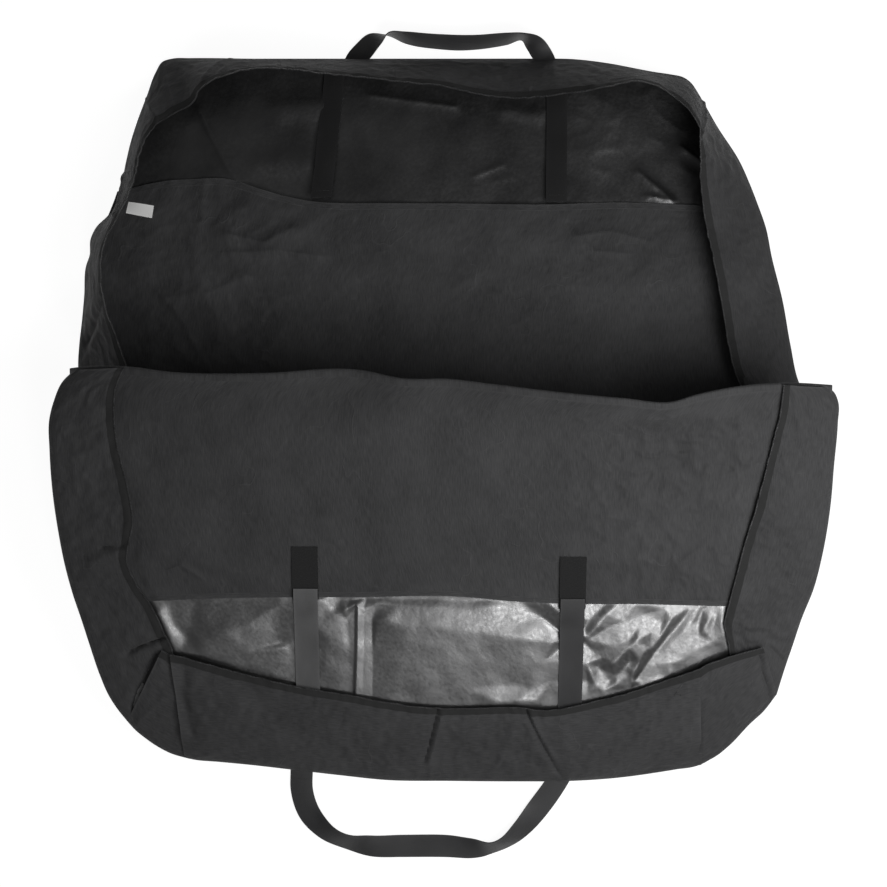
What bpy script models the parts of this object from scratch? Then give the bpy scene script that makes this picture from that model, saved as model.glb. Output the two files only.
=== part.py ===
"""A soft bike travel bag, unzipped and laid open on its back.

The back half is a shallow tub of fabric on the floor. The front half is folded away
from it about the upper edge of the bottom gusset, with its inner side up. X runs
across the bag, +Y runs from the folded front half to the tub's top edge and +Z is up.
The origin is on the floor, near the middle of the bag as it lies open.
Lengths are in metres and angles in degrees.

Each half is built in a frame of its own: x across, y from the bottom seam to the top
edge, z from the outer face inwards.
"""

import math

import bpy
from mathutils import Matrix, Vector

# Outline of both face panels, from the bottom seam up
BOTTOM_HALF_WIDTH = 0.668
SHOULDER_HALF_WIDTH = 0.588
SHOULDER_HEIGHT = 0.570
TOP_HALF_WIDTH = 0.435
TOP_HEIGHT = 0.737
BAG_DEPTH = 0.260

# How the open bag lies
SEAM_Y = -0.048
GUSSET_LEAN = 54.5
BACK_RIGHT_LEAN = 25.0
BACK_LEFT_LEAN = 38.0
BACK_TOP_LEAN = 50.0
FRONT_LEAN = 14.0
UPRIGHT = 90.0

# Fabric thicknesses, and the air between pieces that touch
PANEL_THICKNESS = 0.003
LINING_THICKNESS = 0.0012
WALL_THICKNESS = 0.0024
POCKET_THICKNESS = 0.002
GAP = 0.0003
PANEL_EDGE_INSET = 0.0005

# Edge piping
PIPING_RADIUS = 0.002
PIPING_CLEARANCE = 0.0005
PIPING_START = 0.006

# Wheel pockets: a loose panel over the lining, open towards the top edge
POCKET_SPACE = 0.012
POCKET_BOTTOM = 0.032
POCKET_SEAM_WIDTH = 0.008
BACK_POCKET_HEIGHT = 0.4705
FRONT_POCKET_HEIGHT = 0.387
HEM_WIDTH = 0.013
HEM_THICKNESS = 0.001

# Zip along the free edges of the walls
ZIP_GAP = 0.003
ZIP_WIDTH = 0.0115
ZIP_THICKNESS = 0.003
STOP_LENGTH = 0.006
STOP_WIDTH = 0.008
STOP_THICKNESS = 0.0046
SLIDER_LENGTH = 0.025
SLIDER_WIDTH = 0.014
SLIDER_PLATE = 0.0015
SLIDER_PLAY = 0.0004
SLIDER_POST = 0.002
SLIDER_START = 0.022
PULL_LENGTH = 0.028
PULL_WIDTH = 0.009
PULL_END_WIDTH = 0.006
PULL_THICKNESS = 0.0012

# Inner straps and their patches
STRAP_WIDTH = 0.040
STRAP_THICKNESS = 0.002
STRAP_RISE = 0.040
STRAP_LEVEL_RUN = 0.004
STRAP_WALL_ROOM = 0.010
BACK_STRAP_MOUTH_ROOM = 0.009
BACK_STRAP_LEFT = 0.207
BACK_STRAP_RIGHT = 0.203
FRONT_STRAP_LANDING = 0.0255
FRONT_STRAP_LEFT = 0.242
FRONT_STRAP_RIGHT = 0.226
PATCH_WIDTH = 0.044
PATCH_THICKNESS = 0.0015
PATCH_LENGTH = 0.100

# Carrying handles, as flat loops
HANDLE_THICKNESS = 0.002
BACK_HANDLE_REACH = 0.054
BACK_HANDLE_BAND = 0.034
BACK_HANDLE_HALF_BASE = 0.196
BACK_HANDLE_HALF_TOP = 0.146
FRONT_HANDLE_REACH = 0.140
FRONT_HANDLE_BAND = 0.038
FRONT_HANDLE_HALF_BASE = 0.232
FRONT_HANDLE_HALF_TOP = 0.170

# Blank care label inside the left wall
LABEL_LENGTH = 0.040
LABEL_WIDTH = 0.021
LABEL_THICKNESS = 0.0006
LABEL_HEIGHT = 0.470
LABEL_ZIP_OFFSET = 0.012

# Finishes: colour, roughness and metallic value
FINISHES = {
    "charcoal_fabric": ((0.030, 0.030, 0.031), 0.85, 0.0),
    "coated_lining": ((0.050, 0.050, 0.052), 0.35, 0.0),
    "webbing": ((0.045, 0.045, 0.046), 0.80, 0.0),
    "zip_tape": ((0.022, 0.022, 0.023), 0.70, 0.0),
    "zip_metal": ((0.060, 0.060, 0.062), 0.40, 1.0),
    "loop_patch": ((0.012, 0.012, 0.012), 0.95, 0.0),
    "white_label": ((0.800, 0.800, 0.790), 0.60, 0.0),
}

# Sizes worked out from the ones above
LINING_TOP = PANEL_THICKNESS + GAP + LINING_THICKNESS
POCKET_TOP = LINING_TOP + POCKET_SPACE + POCKET_THICKNESS
WALL_AXIS_HEIGHT = PANEL_THICKNESS + WALL_THICKNESS / 2 + GAP
WALL_REACH = BAG_DEPTH / 2 - WALL_AXIS_HEIGHT - ZIP_GAP / 2
WALL_WIDTH = WALL_REACH - ZIP_WIDTH - GAP
END_GAP = WALL_THICKNESS / 2 + GAP
PIPING_OFFSET = PIPING_RADIUS + PIPING_CLEARANCE
EDGE_HEIGHT = TOP_HEIGHT + PIPING_OFFSET + PIPING_RADIUS
GUSSET_HALF_WIDTH = BOTTOM_HALF_WIDTH - WALL_THICKNESS / 2 - 2 * END_GAP
GORE_LENGTH = BAG_DEPTH / 2
PATCH_START = FRONT_POCKET_HEIGHT - PATCH_LENGTH

# A profile drawn in a sheet's own plane, stood up on its side
ON_EDGE = Matrix(((0, 0, 1, 0), (1, 0, 0, 0), (0, 1, 0, 0), (0, 0, 0, 1)))


def radians(angle):
    """An angle of the tables above in radians."""
    return math.radians(angle)


def clear_of_gusset(height, lean=GUSSET_LEAN):
    """How far from the bottom seam a piece of this height starts, under the leaning gusset."""
    thickness = WALL_THICKNESS / 2 + GAP
    return (thickness + height * math.cos(radians(lean))) / math.sin(radians(lean))


def clear_of_wall(height, lean=FRONT_LEAN):
    """How far inside the outline a piece of this height stays, under a folded wall."""
    rise = height - WALL_AXIS_HEIGHT + GAP + WALL_THICKNESS / 2 / math.cos(radians(lean))
    return rise / math.tan(radians(lean))


def front_slope():
    """The front half's slope in degrees: its far edge rests on the floor."""
    reach = TOP_HEIGHT + PIPING_OFFSET
    drop = BAG_DEPTH * math.sin(radians(GUSSET_LEAN)) - PIPING_RADIUS - GAP
    straight = math.hypot(reach, PIPING_RADIUS)
    offset = math.atan2(PIPING_RADIUS, reach)
    return math.degrees(math.asin(drop / straight) + offset)


def strap_sewn(lean):
    """The height of a strap's sewn end, just clear of the top wall's free edge."""
    return TOP_HEIGHT - WALL_REACH * math.cos(radians(lean)) - STRAP_WALL_ROOM


FRONT_SLOPE = front_slope()
BACK_STRAP_SEWN = strap_sewn(BACK_TOP_LEAN)
FRONT_STRAP_SEWN = strap_sewn(FRONT_LEAN)


def half_width(height):
    """Half the width of the face outline at a height above the bottom seam."""
    if height <= SHOULDER_HEIGHT:
        share = height / SHOULDER_HEIGHT
        return BOTTOM_HALF_WIDTH + share * (SHOULDER_HALF_WIDTH - BOTTOM_HALF_WIDTH)
    share = (height - SHOULDER_HEIGHT) / (TOP_HEIGHT - SHOULDER_HEIGHT)
    return SHOULDER_HALF_WIDTH + share * (TOP_HALF_WIDTH - SHOULDER_HALF_WIDTH)


def right_side(start):
    """The right half of the outline, from a height near the bottom seam to the top edge."""
    return [
        (half_width(start), start),
        (SHOULDER_HALF_WIDTH, SHOULDER_HEIGHT),
        (TOP_HALF_WIDTH, TOP_HEIGHT),
    ]


def mirrored(points):
    """The points, followed by the same points on the left in reverse order."""
    return points + [(-x, y) for x, y in reversed(points)]


def moved_out(points, distance):
    """An open path moved to its right by a distance, with its corners kept sharp."""
    path = [Vector(point) for point in points]
    sides = [(b - a).normalized() for a, b in zip(path, path[1:])]
    befores = [sides[0]] + sides
    afters = sides + [sides[-1]]
    result = []
    for point, before, after in zip(path, befores, afters):
        right = Vector((before.y + after.y, -before.x - after.x)).normalized()
        corner = right.dot(Vector((after.y, -after.x)))
        result.append(tuple(point + right * distance / corner))
    return result


def clear_scene():
    """Removes everything that the scene holds."""
    for thing in list(bpy.data.objects):
        bpy.data.objects.remove(thing, do_unlink=True)


def finish(name):
    """The material of that name, made the first time it is asked for."""
    found = bpy.data.materials.get(name)
    if found:
        return found
    colour, roughness, metallic = FINISHES[name]
    material = bpy.data.materials.new(name)
    material.use_nodes = True
    shader = material.node_tree.nodes["Principled BSDF"]
    shader.inputs["Base Color"].default_value = (*colour, 1)
    shader.inputs["Roughness"].default_value = roughness
    shader.inputs["Metallic"].default_value = metallic
    material.diffuse_color = (*colour, 1)
    return material


def frame(name, place, parent=None):
    """An empty at a place given in its parent's frame. A joint's axis is its x axis."""
    empty = bpy.data.objects.new(name, None)
    empty.parent = parent
    empty.matrix_basis = place
    bag.objects.link(empty)
    return empty


def sheet(name, outline, thickness, material, parent, place=Matrix()):
    """A flat sheet with this outline in its place's xy plane, half its thickness to each side."""
    curve = bpy.data.curves.new(name, "CURVE")
    curve.dimensions = "2D"
    curve.fill_mode = "BOTH"
    curve.extrude = thickness / 2
    spline = curve.splines.new("POLY")
    spline.points.add(len(outline) - 1)
    for point, (x, y) in zip(spline.points, outline):
        point.co = (x, y, 0, 1)
    spline.use_cyclic_u = True
    curve.materials.append(finish(material))
    piece = bpy.data.objects.new(name, curve)
    piece.parent = parent
    piece.matrix_basis = place
    bag.objects.link(piece)
    return piece


def layer(name, outline, bottom, thickness, material, parent):
    """A flat sheet whose lower side is at the height bottom of its parent's frame."""
    place = Matrix.Translation((0, 0, bottom + thickness / 2))
    return sheet(name, outline, thickness, material, parent, place)


def piping(name, points, parent):
    """A round bead along the points, lying on the level of the outer face."""
    curve = bpy.data.curves.new(name, "CURVE")
    curve.dimensions = "3D"
    curve.bevel_depth = PIPING_RADIUS
    curve.bevel_resolution = 2
    curve.use_fill_caps = True
    spline = curve.splines.new("POLY")
    spline.points.add(len(points) - 1)
    for point, (x, y) in zip(spline.points, points):
        point.co = (x, y, PIPING_RADIUS, 1)
    curve.materials.append(finish("charcoal_fabric"))
    piece = bpy.data.objects.new(name, curve)
    piece.parent = parent
    bag.objects.link(piece)
    return piece


def wall_frame(name, start, end, lean, parent):
    """The frame of a wall: x along its seam, y up the wall and z towards its outer side."""
    along = (Vector(end) - Vector(start)).normalized().to_3d()
    inward = Vector((-along.y, along.x, 0))
    up = Vector((0, 0, 1))
    wall = inward * math.cos(radians(lean)) + up * math.sin(radians(lean))
    place = Matrix((along, wall, along.cross(wall))).transposed().to_4x4()
    place.translation = (start[0], start[1], WALL_AXIS_HEIGHT)
    return frame(name, place, parent)


def half_turn(before, corner, after):
    """Half the angle by which the outline turns at a corner, in radians."""
    first = Vector(corner) - Vector(before)
    second = Vector(after) - Vector(corner)
    return first.angle(second) / 2


def strip(length, low, high, mitres, end_gap=END_GAP):
    """The outline of a band along a wall, between two heights, with mitred ends."""
    start, end = (math.tan(angle) for angle in mitres)
    return [
        (end_gap + low * start, low),
        (length - end_gap - low * end, low),
        (length - end_gap - high * end, high),
        (end_gap + high * start, high),
    ]


def wall_pieces(half, side, start, end, lean, mitres, parent, zip_ends=(0, 0)):
    """One wall with the zip on its free edge. zip_ends are lengths left free of zip."""
    hinge = wall_frame(f"{half}_{side}_hinge", start, end, lean, parent)
    length = (Vector(end) - Vector(start)).length
    wall = strip(length, 0, WALL_WIDTH, mitres)
    sheet(f"{half}_{side}_wall", wall, WALL_THICKNESS, "charcoal_fabric", hinge)
    tape = strip(length, WALL_WIDTH + GAP, WALL_REACH, mitres)
    shifts = (zip_ends[0], -zip_ends[1], -zip_ends[1], zip_ends[0])
    tape = [(x + shift, y) for (x, y), shift in zip(tape, shifts)]
    sheet(f"{half}_{side}_zip", tape, ZIP_THICKNESS, "zip_tape", hinge)
    return hinge, length


def wheel_pocket(half, height, parent):
    """The pocket panel, the seam that closes three of its sides and its hem."""
    inset = clear_of_wall(POCKET_TOP)
    low = half_width(POCKET_BOTTOM) - inset
    high = half_width(height) - inset
    right = [(low, POCKET_BOTTOM), (high, height)]
    inner = POCKET_SEAM_WIDTH
    bottom = LINING_TOP + POCKET_SPACE
    layer(f"{half}_wheel_pocket", mirrored(right), bottom, POCKET_THICKNESS, "charcoal_fabric", parent)
    seam = [(high, height), (high - inner, height), (low - inner, POCKET_BOTTOM + inner)]
    seam = mirrored(seam) + [(-low, POCKET_BOTTOM), (low, POCKET_BOTTOM)]
    thickness = POCKET_SPACE - 2 * GAP
    layer(f"{half}_pocket_seam", seam, LINING_TOP + GAP, thickness, "charcoal_fabric", parent)
    hem_end = half_width(height) - clear_of_wall(POCKET_TOP + GAP + HEM_THICKNESS)
    hem = [(hem_end, height - HEM_WIDTH), (hem_end, height)]
    layer(f"{half}_pocket_hem", mirrored(hem), POCKET_TOP + GAP, HEM_THICKNESS, "webbing", parent)


def strap_frame(name, x, sewn, parent):
    """A strap's hinge on the lining: y runs to the bottom seam and z up."""
    place = Matrix(((-1, 0, 0, x), (0, -1, 0, sewn), (0, 0, 1, LINING_TOP + GAP), (0, 0, 0, 1)))
    return frame(name, place, parent)


def back_strap(side, x, parent):
    """A webbing strap that lies flat on the lining and ends at the pocket's mouth."""
    hinge = strap_frame(f"back_{side}_strap_hinge", x, BACK_STRAP_SEWN, parent)
    end = BACK_STRAP_SEWN - BACK_POCKET_HEIGHT - BACK_STRAP_MOUTH_ROOM
    outline = [(0, 0), (end, 0), (end, STRAP_THICKNESS), (0, STRAP_THICKNESS)]
    sheet(f"back_{side}_strap", outline, STRAP_WIDTH, "webbing", hinge, ON_EDGE)


def front_strap(side, x, parent):
    """A strap that runs up over the pocket's hem and lands on its patch."""
    hinge = strap_frame(f"front_{side}_strap_hinge", x, FRONT_STRAP_SEWN, parent)
    hem = FRONT_STRAP_SEWN - FRONT_POCKET_HEIGHT
    end = hem + FRONT_STRAP_LANDING
    rise = POCKET_TOP - LINING_TOP + max(PATCH_THICKNESS, HEM_THICKNESS) + GAP
    lower = [(0, 0), (hem - STRAP_RISE, 0), (hem - STRAP_LEVEL_RUN, rise), (end, rise)]
    upper = [(y, z + STRAP_THICKNESS) for y, z in reversed(lower)]
    sheet(f"front_{side}_strap", lower + upper, STRAP_WIDTH, "webbing", hinge, ON_EDGE)
    edge = PATCH_WIDTH / 2
    top = FRONT_POCKET_HEIGHT - HEM_WIDTH - GAP
    patch = [(x - edge, PATCH_START), (x + edge, PATCH_START), (x + edge, top), (x - edge, top)]
    layer(f"front_{side}_patch", patch, POCKET_TOP + GAP, PATCH_THICKNESS, "loop_patch", parent)


def handle(half, place, reach, band, half_base, half_top, parent):
    """A carrying handle: a flat loop whose legs start at the edge seam."""
    hinge = frame(f"{half}_handle_hinge", place, parent)
    slant = (half_base - half_top) / reach
    inner_top = half_top - band + slant * band
    right = [(half_base - band, 0), (half_base, 0), (half_top, reach)]
    left = [(-x, y) for x, y in reversed(right)]
    inside = [(-inner_top, reach - band), (inner_top, reach - band)]
    bottom = Matrix.Translation((0, 0, -HANDLE_THICKNESS / 2))
    sheet(f"{half}_handle", right + left + inside, HANDLE_THICKNESS, "webbing", hinge, bottom)


def zip_slider(side, wall, low_end, away):
    """A slider on a back wall's zip, with its pull tab and the stop below it.

    low_end is the place of the wall's lower end along its seam, and away is 1 or -1,
    the way from there up the zip.
    """
    middle = WALL_REACH + ZIP_GAP / 2
    inner = ZIP_THICKNESS / 2 + SLIDER_PLAY
    outer = inner + SLIDER_PLATE
    edge = SLIDER_WIDTH / 2
    post = SLIDER_POST / 2
    lower = [(-edge, -outer), (edge, -outer), (edge, -inner), (post, -inner)]
    upper = [(post, inner), (edge, inner), (edge, outer), (-edge, outer)]
    left = [(-edge, inner), (-post, inner), (-post, -inner), (-edge, -inner)]
    place = Matrix.Translation((low_end + away * SLIDER_START, middle, 0))
    slider = frame(f"{side}_slider_track", place, wall)
    body = lower + upper + left
    sheet(f"zip_slider_{side}", body, SLIDER_LENGTH, "zip_metal", slider, ON_EDGE)
    lift = outer + GAP + PULL_THICKNESS / 2
    turn = Matrix(((0, away, 0, 0), (-away, 0, 0, 0), (0, 0, 1, lift), (0, 0, 0, 1)))
    pivot = frame(f"{side}_pull_pivot", turn, slider)
    wide, narrow = PULL_WIDTH / 2, PULL_END_WIDTH / 2
    tab = [(-narrow, 0), (narrow, 0), (wide, PULL_LENGTH), (-wide, PULL_LENGTH)]
    sheet(f"zip_pull_{side}", tab, PULL_THICKNESS, "zip_metal", pivot)
    near = low_end + away * END_GAP
    far = near + away * STOP_LENGTH
    high = WALL_REACH
    stop = [(near, high - STOP_WIDTH), (far, high - STOP_WIDTH), (far, high), (near, high)]
    sheet(f"zip_stop_{side}", stop, STOP_THICKNESS, "zip_metal", wall)


def care_label(wall):
    """A blank label that stands off the left wall's inner side, below the zip."""
    along = (SHOULDER_HEIGHT - LABEL_HEIGHT) * slant_share()
    near, far = along - LABEL_WIDTH / 2, along + LABEL_WIDTH / 2
    start = WALL_THICKNESS / 2 + GAP
    end = start + LABEL_LENGTH
    outline = [(near, start), (far, start), (far, end), (near, end)]
    high = WALL_WIDTH - LABEL_ZIP_OFFSET
    place = Matrix(((1, 0, 0, 0), (0, 0, 1, high), (0, -1, 0, 0), (0, 0, 0, 1)))
    sheet("care_label", outline, LABEL_THICKNESS, "white_label", wall, place)


def side_slant():
    """How far a side seam moves inwards over its height, as a share of that height."""
    return (BOTTOM_HALF_WIDTH - SHOULDER_HALF_WIDTH) / SHOULDER_HEIGHT


def slant_share():
    """The length of a side seam over its height."""
    return math.hypot(1, side_slant())


def inset_outline(start, inset):
    """The face outline from a height up, with its side and top edges moved inwards."""
    points = moved_out(mirrored(right_side(start)), -inset)
    points[0] = (points[0][0], start)
    points[-1] = (points[-1][0], start)
    return points


def face_layers(half, start, parent):
    """The face panel, the lining on it and the piping round its edge."""
    face = inset_outline(start, PANEL_EDGE_INSET)
    layer(f"{half}_face_panel", face, 0, PANEL_THICKNESS, "charcoal_fabric", parent)
    lining = inset_outline(clear_of_gusset(LINING_TOP), clear_of_wall(LINING_TOP))
    bottom = PANEL_THICKNESS + GAP
    layer(f"{half}_lining", lining, bottom, LINING_THICKNESS, "coated_lining", parent)
    bead = moved_out(mirrored(right_side(PIPING_START)), PIPING_OFFSET)
    piping(f"{half}_edge_piping", bead, parent)


def back_half(parent):
    """The tub: its layers, its walls, two of them standing still, and what they carry."""
    face_layers("back", clear_of_gusset(PANEL_THICKNESS), parent)
    wheel_pocket("back", BACK_POCKET_HEIGHT, parent)
    start = GORE_LENGTH + GAP
    low, shoulder, top = right_side(start)
    square = (0, 0)
    zip_free = STOP_LENGTH + GAP
    points = mirrored([low, shoulder, top])
    names = ("right", "right_corner", "top", "left_corner", "left")
    leans = (BACK_RIGHT_LEAN, UPRIGHT, BACK_TOP_LEAN, UPRIGHT, BACK_LEFT_LEAN)
    free_ends = ((zip_free, 0), square, square, square, (0, zip_free))
    walls = {}
    for side, a, b, lean, free in zip(names, points, points[1:], leans, free_ends):
        walls[side] = wall_pieces("back", side, a, b, lean, square, parent, free)
    right, length = walls["right"]
    left, length = walls["left"]
    zip_slider("right", right, 0, 1)
    zip_slider("left", left, length, -1)
    care_label(left)
    back_strap("left", -BACK_STRAP_LEFT, parent)
    back_strap("right", BACK_STRAP_RIGHT, parent)
    edge = Matrix.Translation((0, EDGE_HEIGHT + GAP, HANDLE_THICKNESS))
    sizes = (BACK_HANDLE_REACH, BACK_HANDLE_BAND, BACK_HANDLE_HALF_BASE, BACK_HANDLE_HALF_TOP)
    handle("back", edge, *sizes, parent)
    side_gores(parent)


def side_gores(parent):
    """The fan of fabric at each end of the bottom gusset, standing on the tub's side seam."""
    lean = radians(GUSSET_LEAN)
    rise = math.tan(lean) / slant_share()
    bottom = 2 * PIPING_RADIUS + GAP
    end = GORE_LENGTH - GAP
    under = END_GAP / math.cos(lean) + GAP
    high = end * math.cos(lean)
    fan = [
        ((bottom + under) / rise, bottom),
        (end, bottom),
        (end, end * math.tan(lean / 2)),
        (high, high * rise - under),
    ]
    angle = math.atan2(SHOULDER_HEIGHT, SHOULDER_HALF_WIDTH - BOTTOM_HALF_WIDTH)
    for side, sign in (("left", -1), ("right", 1)):
        turn = angle if sign > 0 else math.pi - angle
        place = Matrix.Translation((sign * BOTTOM_HALF_WIDTH, 0, 0)) @ Matrix.Rotation(turn, 4, "Z")
        upright = place @ Matrix.Rotation(radians(UPRIGHT), 4, "X")
        sheet(f"{side}_side_gore", fan, WALL_THICKNESS, "charcoal_fabric", parent, upright)


def front_half(parent):
    """The lid: its layers, its folded walls, its straps and its handle."""
    face_start = clear_of_gusset(0, GUSSET_LEAN - FRONT_SLOPE)
    face_layers("front", face_start, parent)
    wheel_pocket("front", FRONT_POCKET_HEIGHT, parent)
    low, shoulder, top = right_side(2 * END_GAP)
    points = mirrored([low, shoulder, top])
    names = ("left", "left_corner", "top", "right_corner", "right")
    turns = [half_turn(*points[i : i + 3]) for i in range(len(points) - 2)]
    fold_end = math.atan(side_slant())
    mitres = list(zip([fold_end] + turns, turns + [fold_end]))
    for side, a, b, ends in zip(names, points, points[1:], mitres):
        wall_pieces("front", side, a, b, FRONT_LEAN, ends, parent)
    front_strap("left", FRONT_STRAP_LEFT, parent)
    front_strap("right", -FRONT_STRAP_RIGHT, parent)
    sizes = (FRONT_HANDLE_REACH, FRONT_HANDLE_BAND, FRONT_HANDLE_HALF_BASE, FRONT_HANDLE_HALF_TOP)
    handle("front", front_handle_place(), *sizes, parent)


def front_handle_place():
    """The front handle's hinge, level with the floor at the front half's far edge."""
    slope = radians(FRONT_SLOPE)
    centre = TOP_HEIGHT + PIPING_OFFSET
    edge_y = fold_line().y - centre * math.cos(slope) - PIPING_RADIUS * (1 + math.sin(slope))
    world = Matrix(
        ((-1, 0, 0, 0), (0, -1, 0, edge_y - GAP), (0, 0, 1, HANDLE_THICKNESS), (0, 0, 0, 1))
    )
    return front_frame().inverted() @ world


def fold_line():
    """The middle of the gusset's upper edge, about which the front half folds."""
    lean = radians(GUSSET_LEAN)
    return Vector((0, SEAM_Y + BAG_DEPTH * math.cos(lean), BAG_DEPTH * math.sin(lean)))


def front_frame():
    """The front half's frame in the world: it hangs from the fold to the floor."""
    turn = Matrix.Rotation(math.pi, 4, "Z") @ Matrix.Rotation(-radians(FRONT_SLOPE), 4, "X")
    return Matrix.Translation(fold_line()) @ turn


def bottom_gusset():
    """The full-depth panel between the two halves, leaning in over the tub."""
    lean = radians(GUSSET_LEAN)
    place = Matrix.Translation((0, SEAM_Y, 0)) @ Matrix.Rotation(lean, 4, "X")
    hinge = frame("gusset_hinge", place)
    low = WALL_THICKNESS / 2 / math.tan(lean) + GAP
    high = BAG_DEPTH - GAP
    wide = GUSSET_HALF_WIDTH
    outline = [(-wide, low), (wide, low), (wide, high), (-wide, high)]
    sheet("bottom_gusset", outline, WALL_THICKNESS, "charcoal_fabric", hinge)
    return hinge


clear_scene()
bag = bpy.data.collections.new("soft_bike_travel_bag")
bpy.context.scene.collection.children.link(bag)
tub = frame("back_half_frame", Matrix.Translation((0, SEAM_Y, 0)))
back_half(tub)
gusset = bottom_gusset()
in_gusset = gusset.matrix_basis.inverted() @ front_frame()
lid = frame("front_half_frame", in_gusset, gusset)
front_half(lid)
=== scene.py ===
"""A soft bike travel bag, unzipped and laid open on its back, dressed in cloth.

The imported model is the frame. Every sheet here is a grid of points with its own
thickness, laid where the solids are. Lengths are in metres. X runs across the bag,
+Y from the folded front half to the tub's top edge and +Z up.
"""

from __future__ import annotations

import logging
import math
from dataclasses import dataclass, field
from enum import Enum
from typing import Sequence

import bpy
import numpy as np
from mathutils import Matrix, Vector
from mathutils.geometry import delaunay_2d_cdt


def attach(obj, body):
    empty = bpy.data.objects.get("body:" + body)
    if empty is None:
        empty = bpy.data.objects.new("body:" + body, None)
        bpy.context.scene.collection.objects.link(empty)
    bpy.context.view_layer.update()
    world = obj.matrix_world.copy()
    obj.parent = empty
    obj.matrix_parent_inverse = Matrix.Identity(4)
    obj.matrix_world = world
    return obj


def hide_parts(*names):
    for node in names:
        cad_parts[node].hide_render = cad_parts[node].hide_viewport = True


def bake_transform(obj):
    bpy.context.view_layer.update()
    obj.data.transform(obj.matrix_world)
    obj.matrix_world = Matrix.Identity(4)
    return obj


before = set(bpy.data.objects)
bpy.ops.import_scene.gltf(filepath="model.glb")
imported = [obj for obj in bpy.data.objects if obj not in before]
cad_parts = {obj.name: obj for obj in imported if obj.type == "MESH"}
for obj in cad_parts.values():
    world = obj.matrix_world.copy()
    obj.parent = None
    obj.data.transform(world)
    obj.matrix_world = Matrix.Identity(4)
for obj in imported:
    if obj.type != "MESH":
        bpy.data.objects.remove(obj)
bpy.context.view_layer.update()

LOG = logging.getLogger("bag")
CLOTH_ATTRIBUTE = "cloth"
WEAR_ATTRIBUTE = "wear"
WEAR_REACH = 0.005
SHARP_ANGLE = math.radians(55)
MILLIMETRE = 0.001

Points = np.ndarray
Pair = tuple[float, float]
Triple = tuple[float, float, float]

FOLD = np.array((0.0, 0.10298, 0.21167))
SLOPE = math.radians(16.6016)
DOWN = np.array((0.0, -math.cos(SLOPE), -math.sin(SLOPE)))
OFF = np.array((0.0, -math.sin(SLOPE), math.cos(SLOPE)))


class Slot(Enum):
    """The material slots."""

    FABRIC = "charcoal_fabric"
    LINING = "coated_lining"
    WEBBING = "webbing"
    TAPE = "zip_tape"
    METAL = "zip_metal"
    LOOP = "loop_patch"
    LABEL = "white_label"


class Held(Enum):
    """How a sheet of cloth is held."""

    DRAPED = "draped"
    LAID = "laid"
    FOLDED = "folded"


# Curves and wrinkles


def hermite(knots: Points, values: Points, at: Points) -> Points:
    """Smooth values between knots, passing through each of them.

    Args:
        knots: Rising places of the values.
        values: One row of values for each knot.
        at: Places to look up.

    Returns:
        One row of values for each place.
    """
    steps = np.diff(knots)[:, None]
    slopes = np.diff(values, axis=0) / steps
    tangents = np.empty_like(values)
    tangents[0], tangents[-1] = slopes[0], slopes[-1]
    share = steps[:-1] / (steps[:-1] + steps[1:])
    tangents[1:-1] = slopes[:-1] * (1 - share) + slopes[1:] * share
    index = np.clip(np.searchsorted(knots, at) - 1, 0, len(knots) - 2)
    step = steps[index]
    t = ((at - knots[index])[:, None]) / step
    a = (1 + 2 * t) * (1 - t) ** 2 * values[index]
    b = t * (1 - t) ** 2 * step * tangents[index]
    c = t * t * (3 - 2 * t) * values[index + 1]
    d = t * t * (t - 1) * step * tangents[index + 1]
    return a + b + c + d


def lengths(points: Points) -> Points:
    """The distance along a path to each of its points."""
    steps = np.linalg.norm(np.diff(points, axis=0), axis=1)
    return np.concatenate(([0.0], np.cumsum(steps)))


def curve(points: Sequence[Sequence[float]], count: int) -> Points:
    """A smooth path through points, with evenly spaced samples.

    Args:
        points: The points it passes through.
        count: The number of samples.

    Returns:
        The samples, one row each.
    """
    path = np.array(points, float)
    along = lengths(path)
    return hermite(along, path, np.linspace(0, along[-1], count))


def smooth(value: Points) -> Points:
    """A smooth step from 0 to 1 over that range."""
    t = np.clip(value, 0, 1)
    return t * t * (3 - 2 * t)


def inset(line: Sequence[Pair], centre: Pair, step: float) -> Points:
    """A line with each of its points drawn a step towards a centre."""
    away = np.array(line) - np.array(centre)
    return np.array(line) - away / np.linalg.norm(away, axis=1, keepdims=True) * step


def on_floor(*lines: Points) -> tuple[Points, ...]:
    """Lines in two coordinates laid flat on the floor."""
    return tuple(np.column_stack((line, np.zeros(len(line)))) for line in lines)


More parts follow.
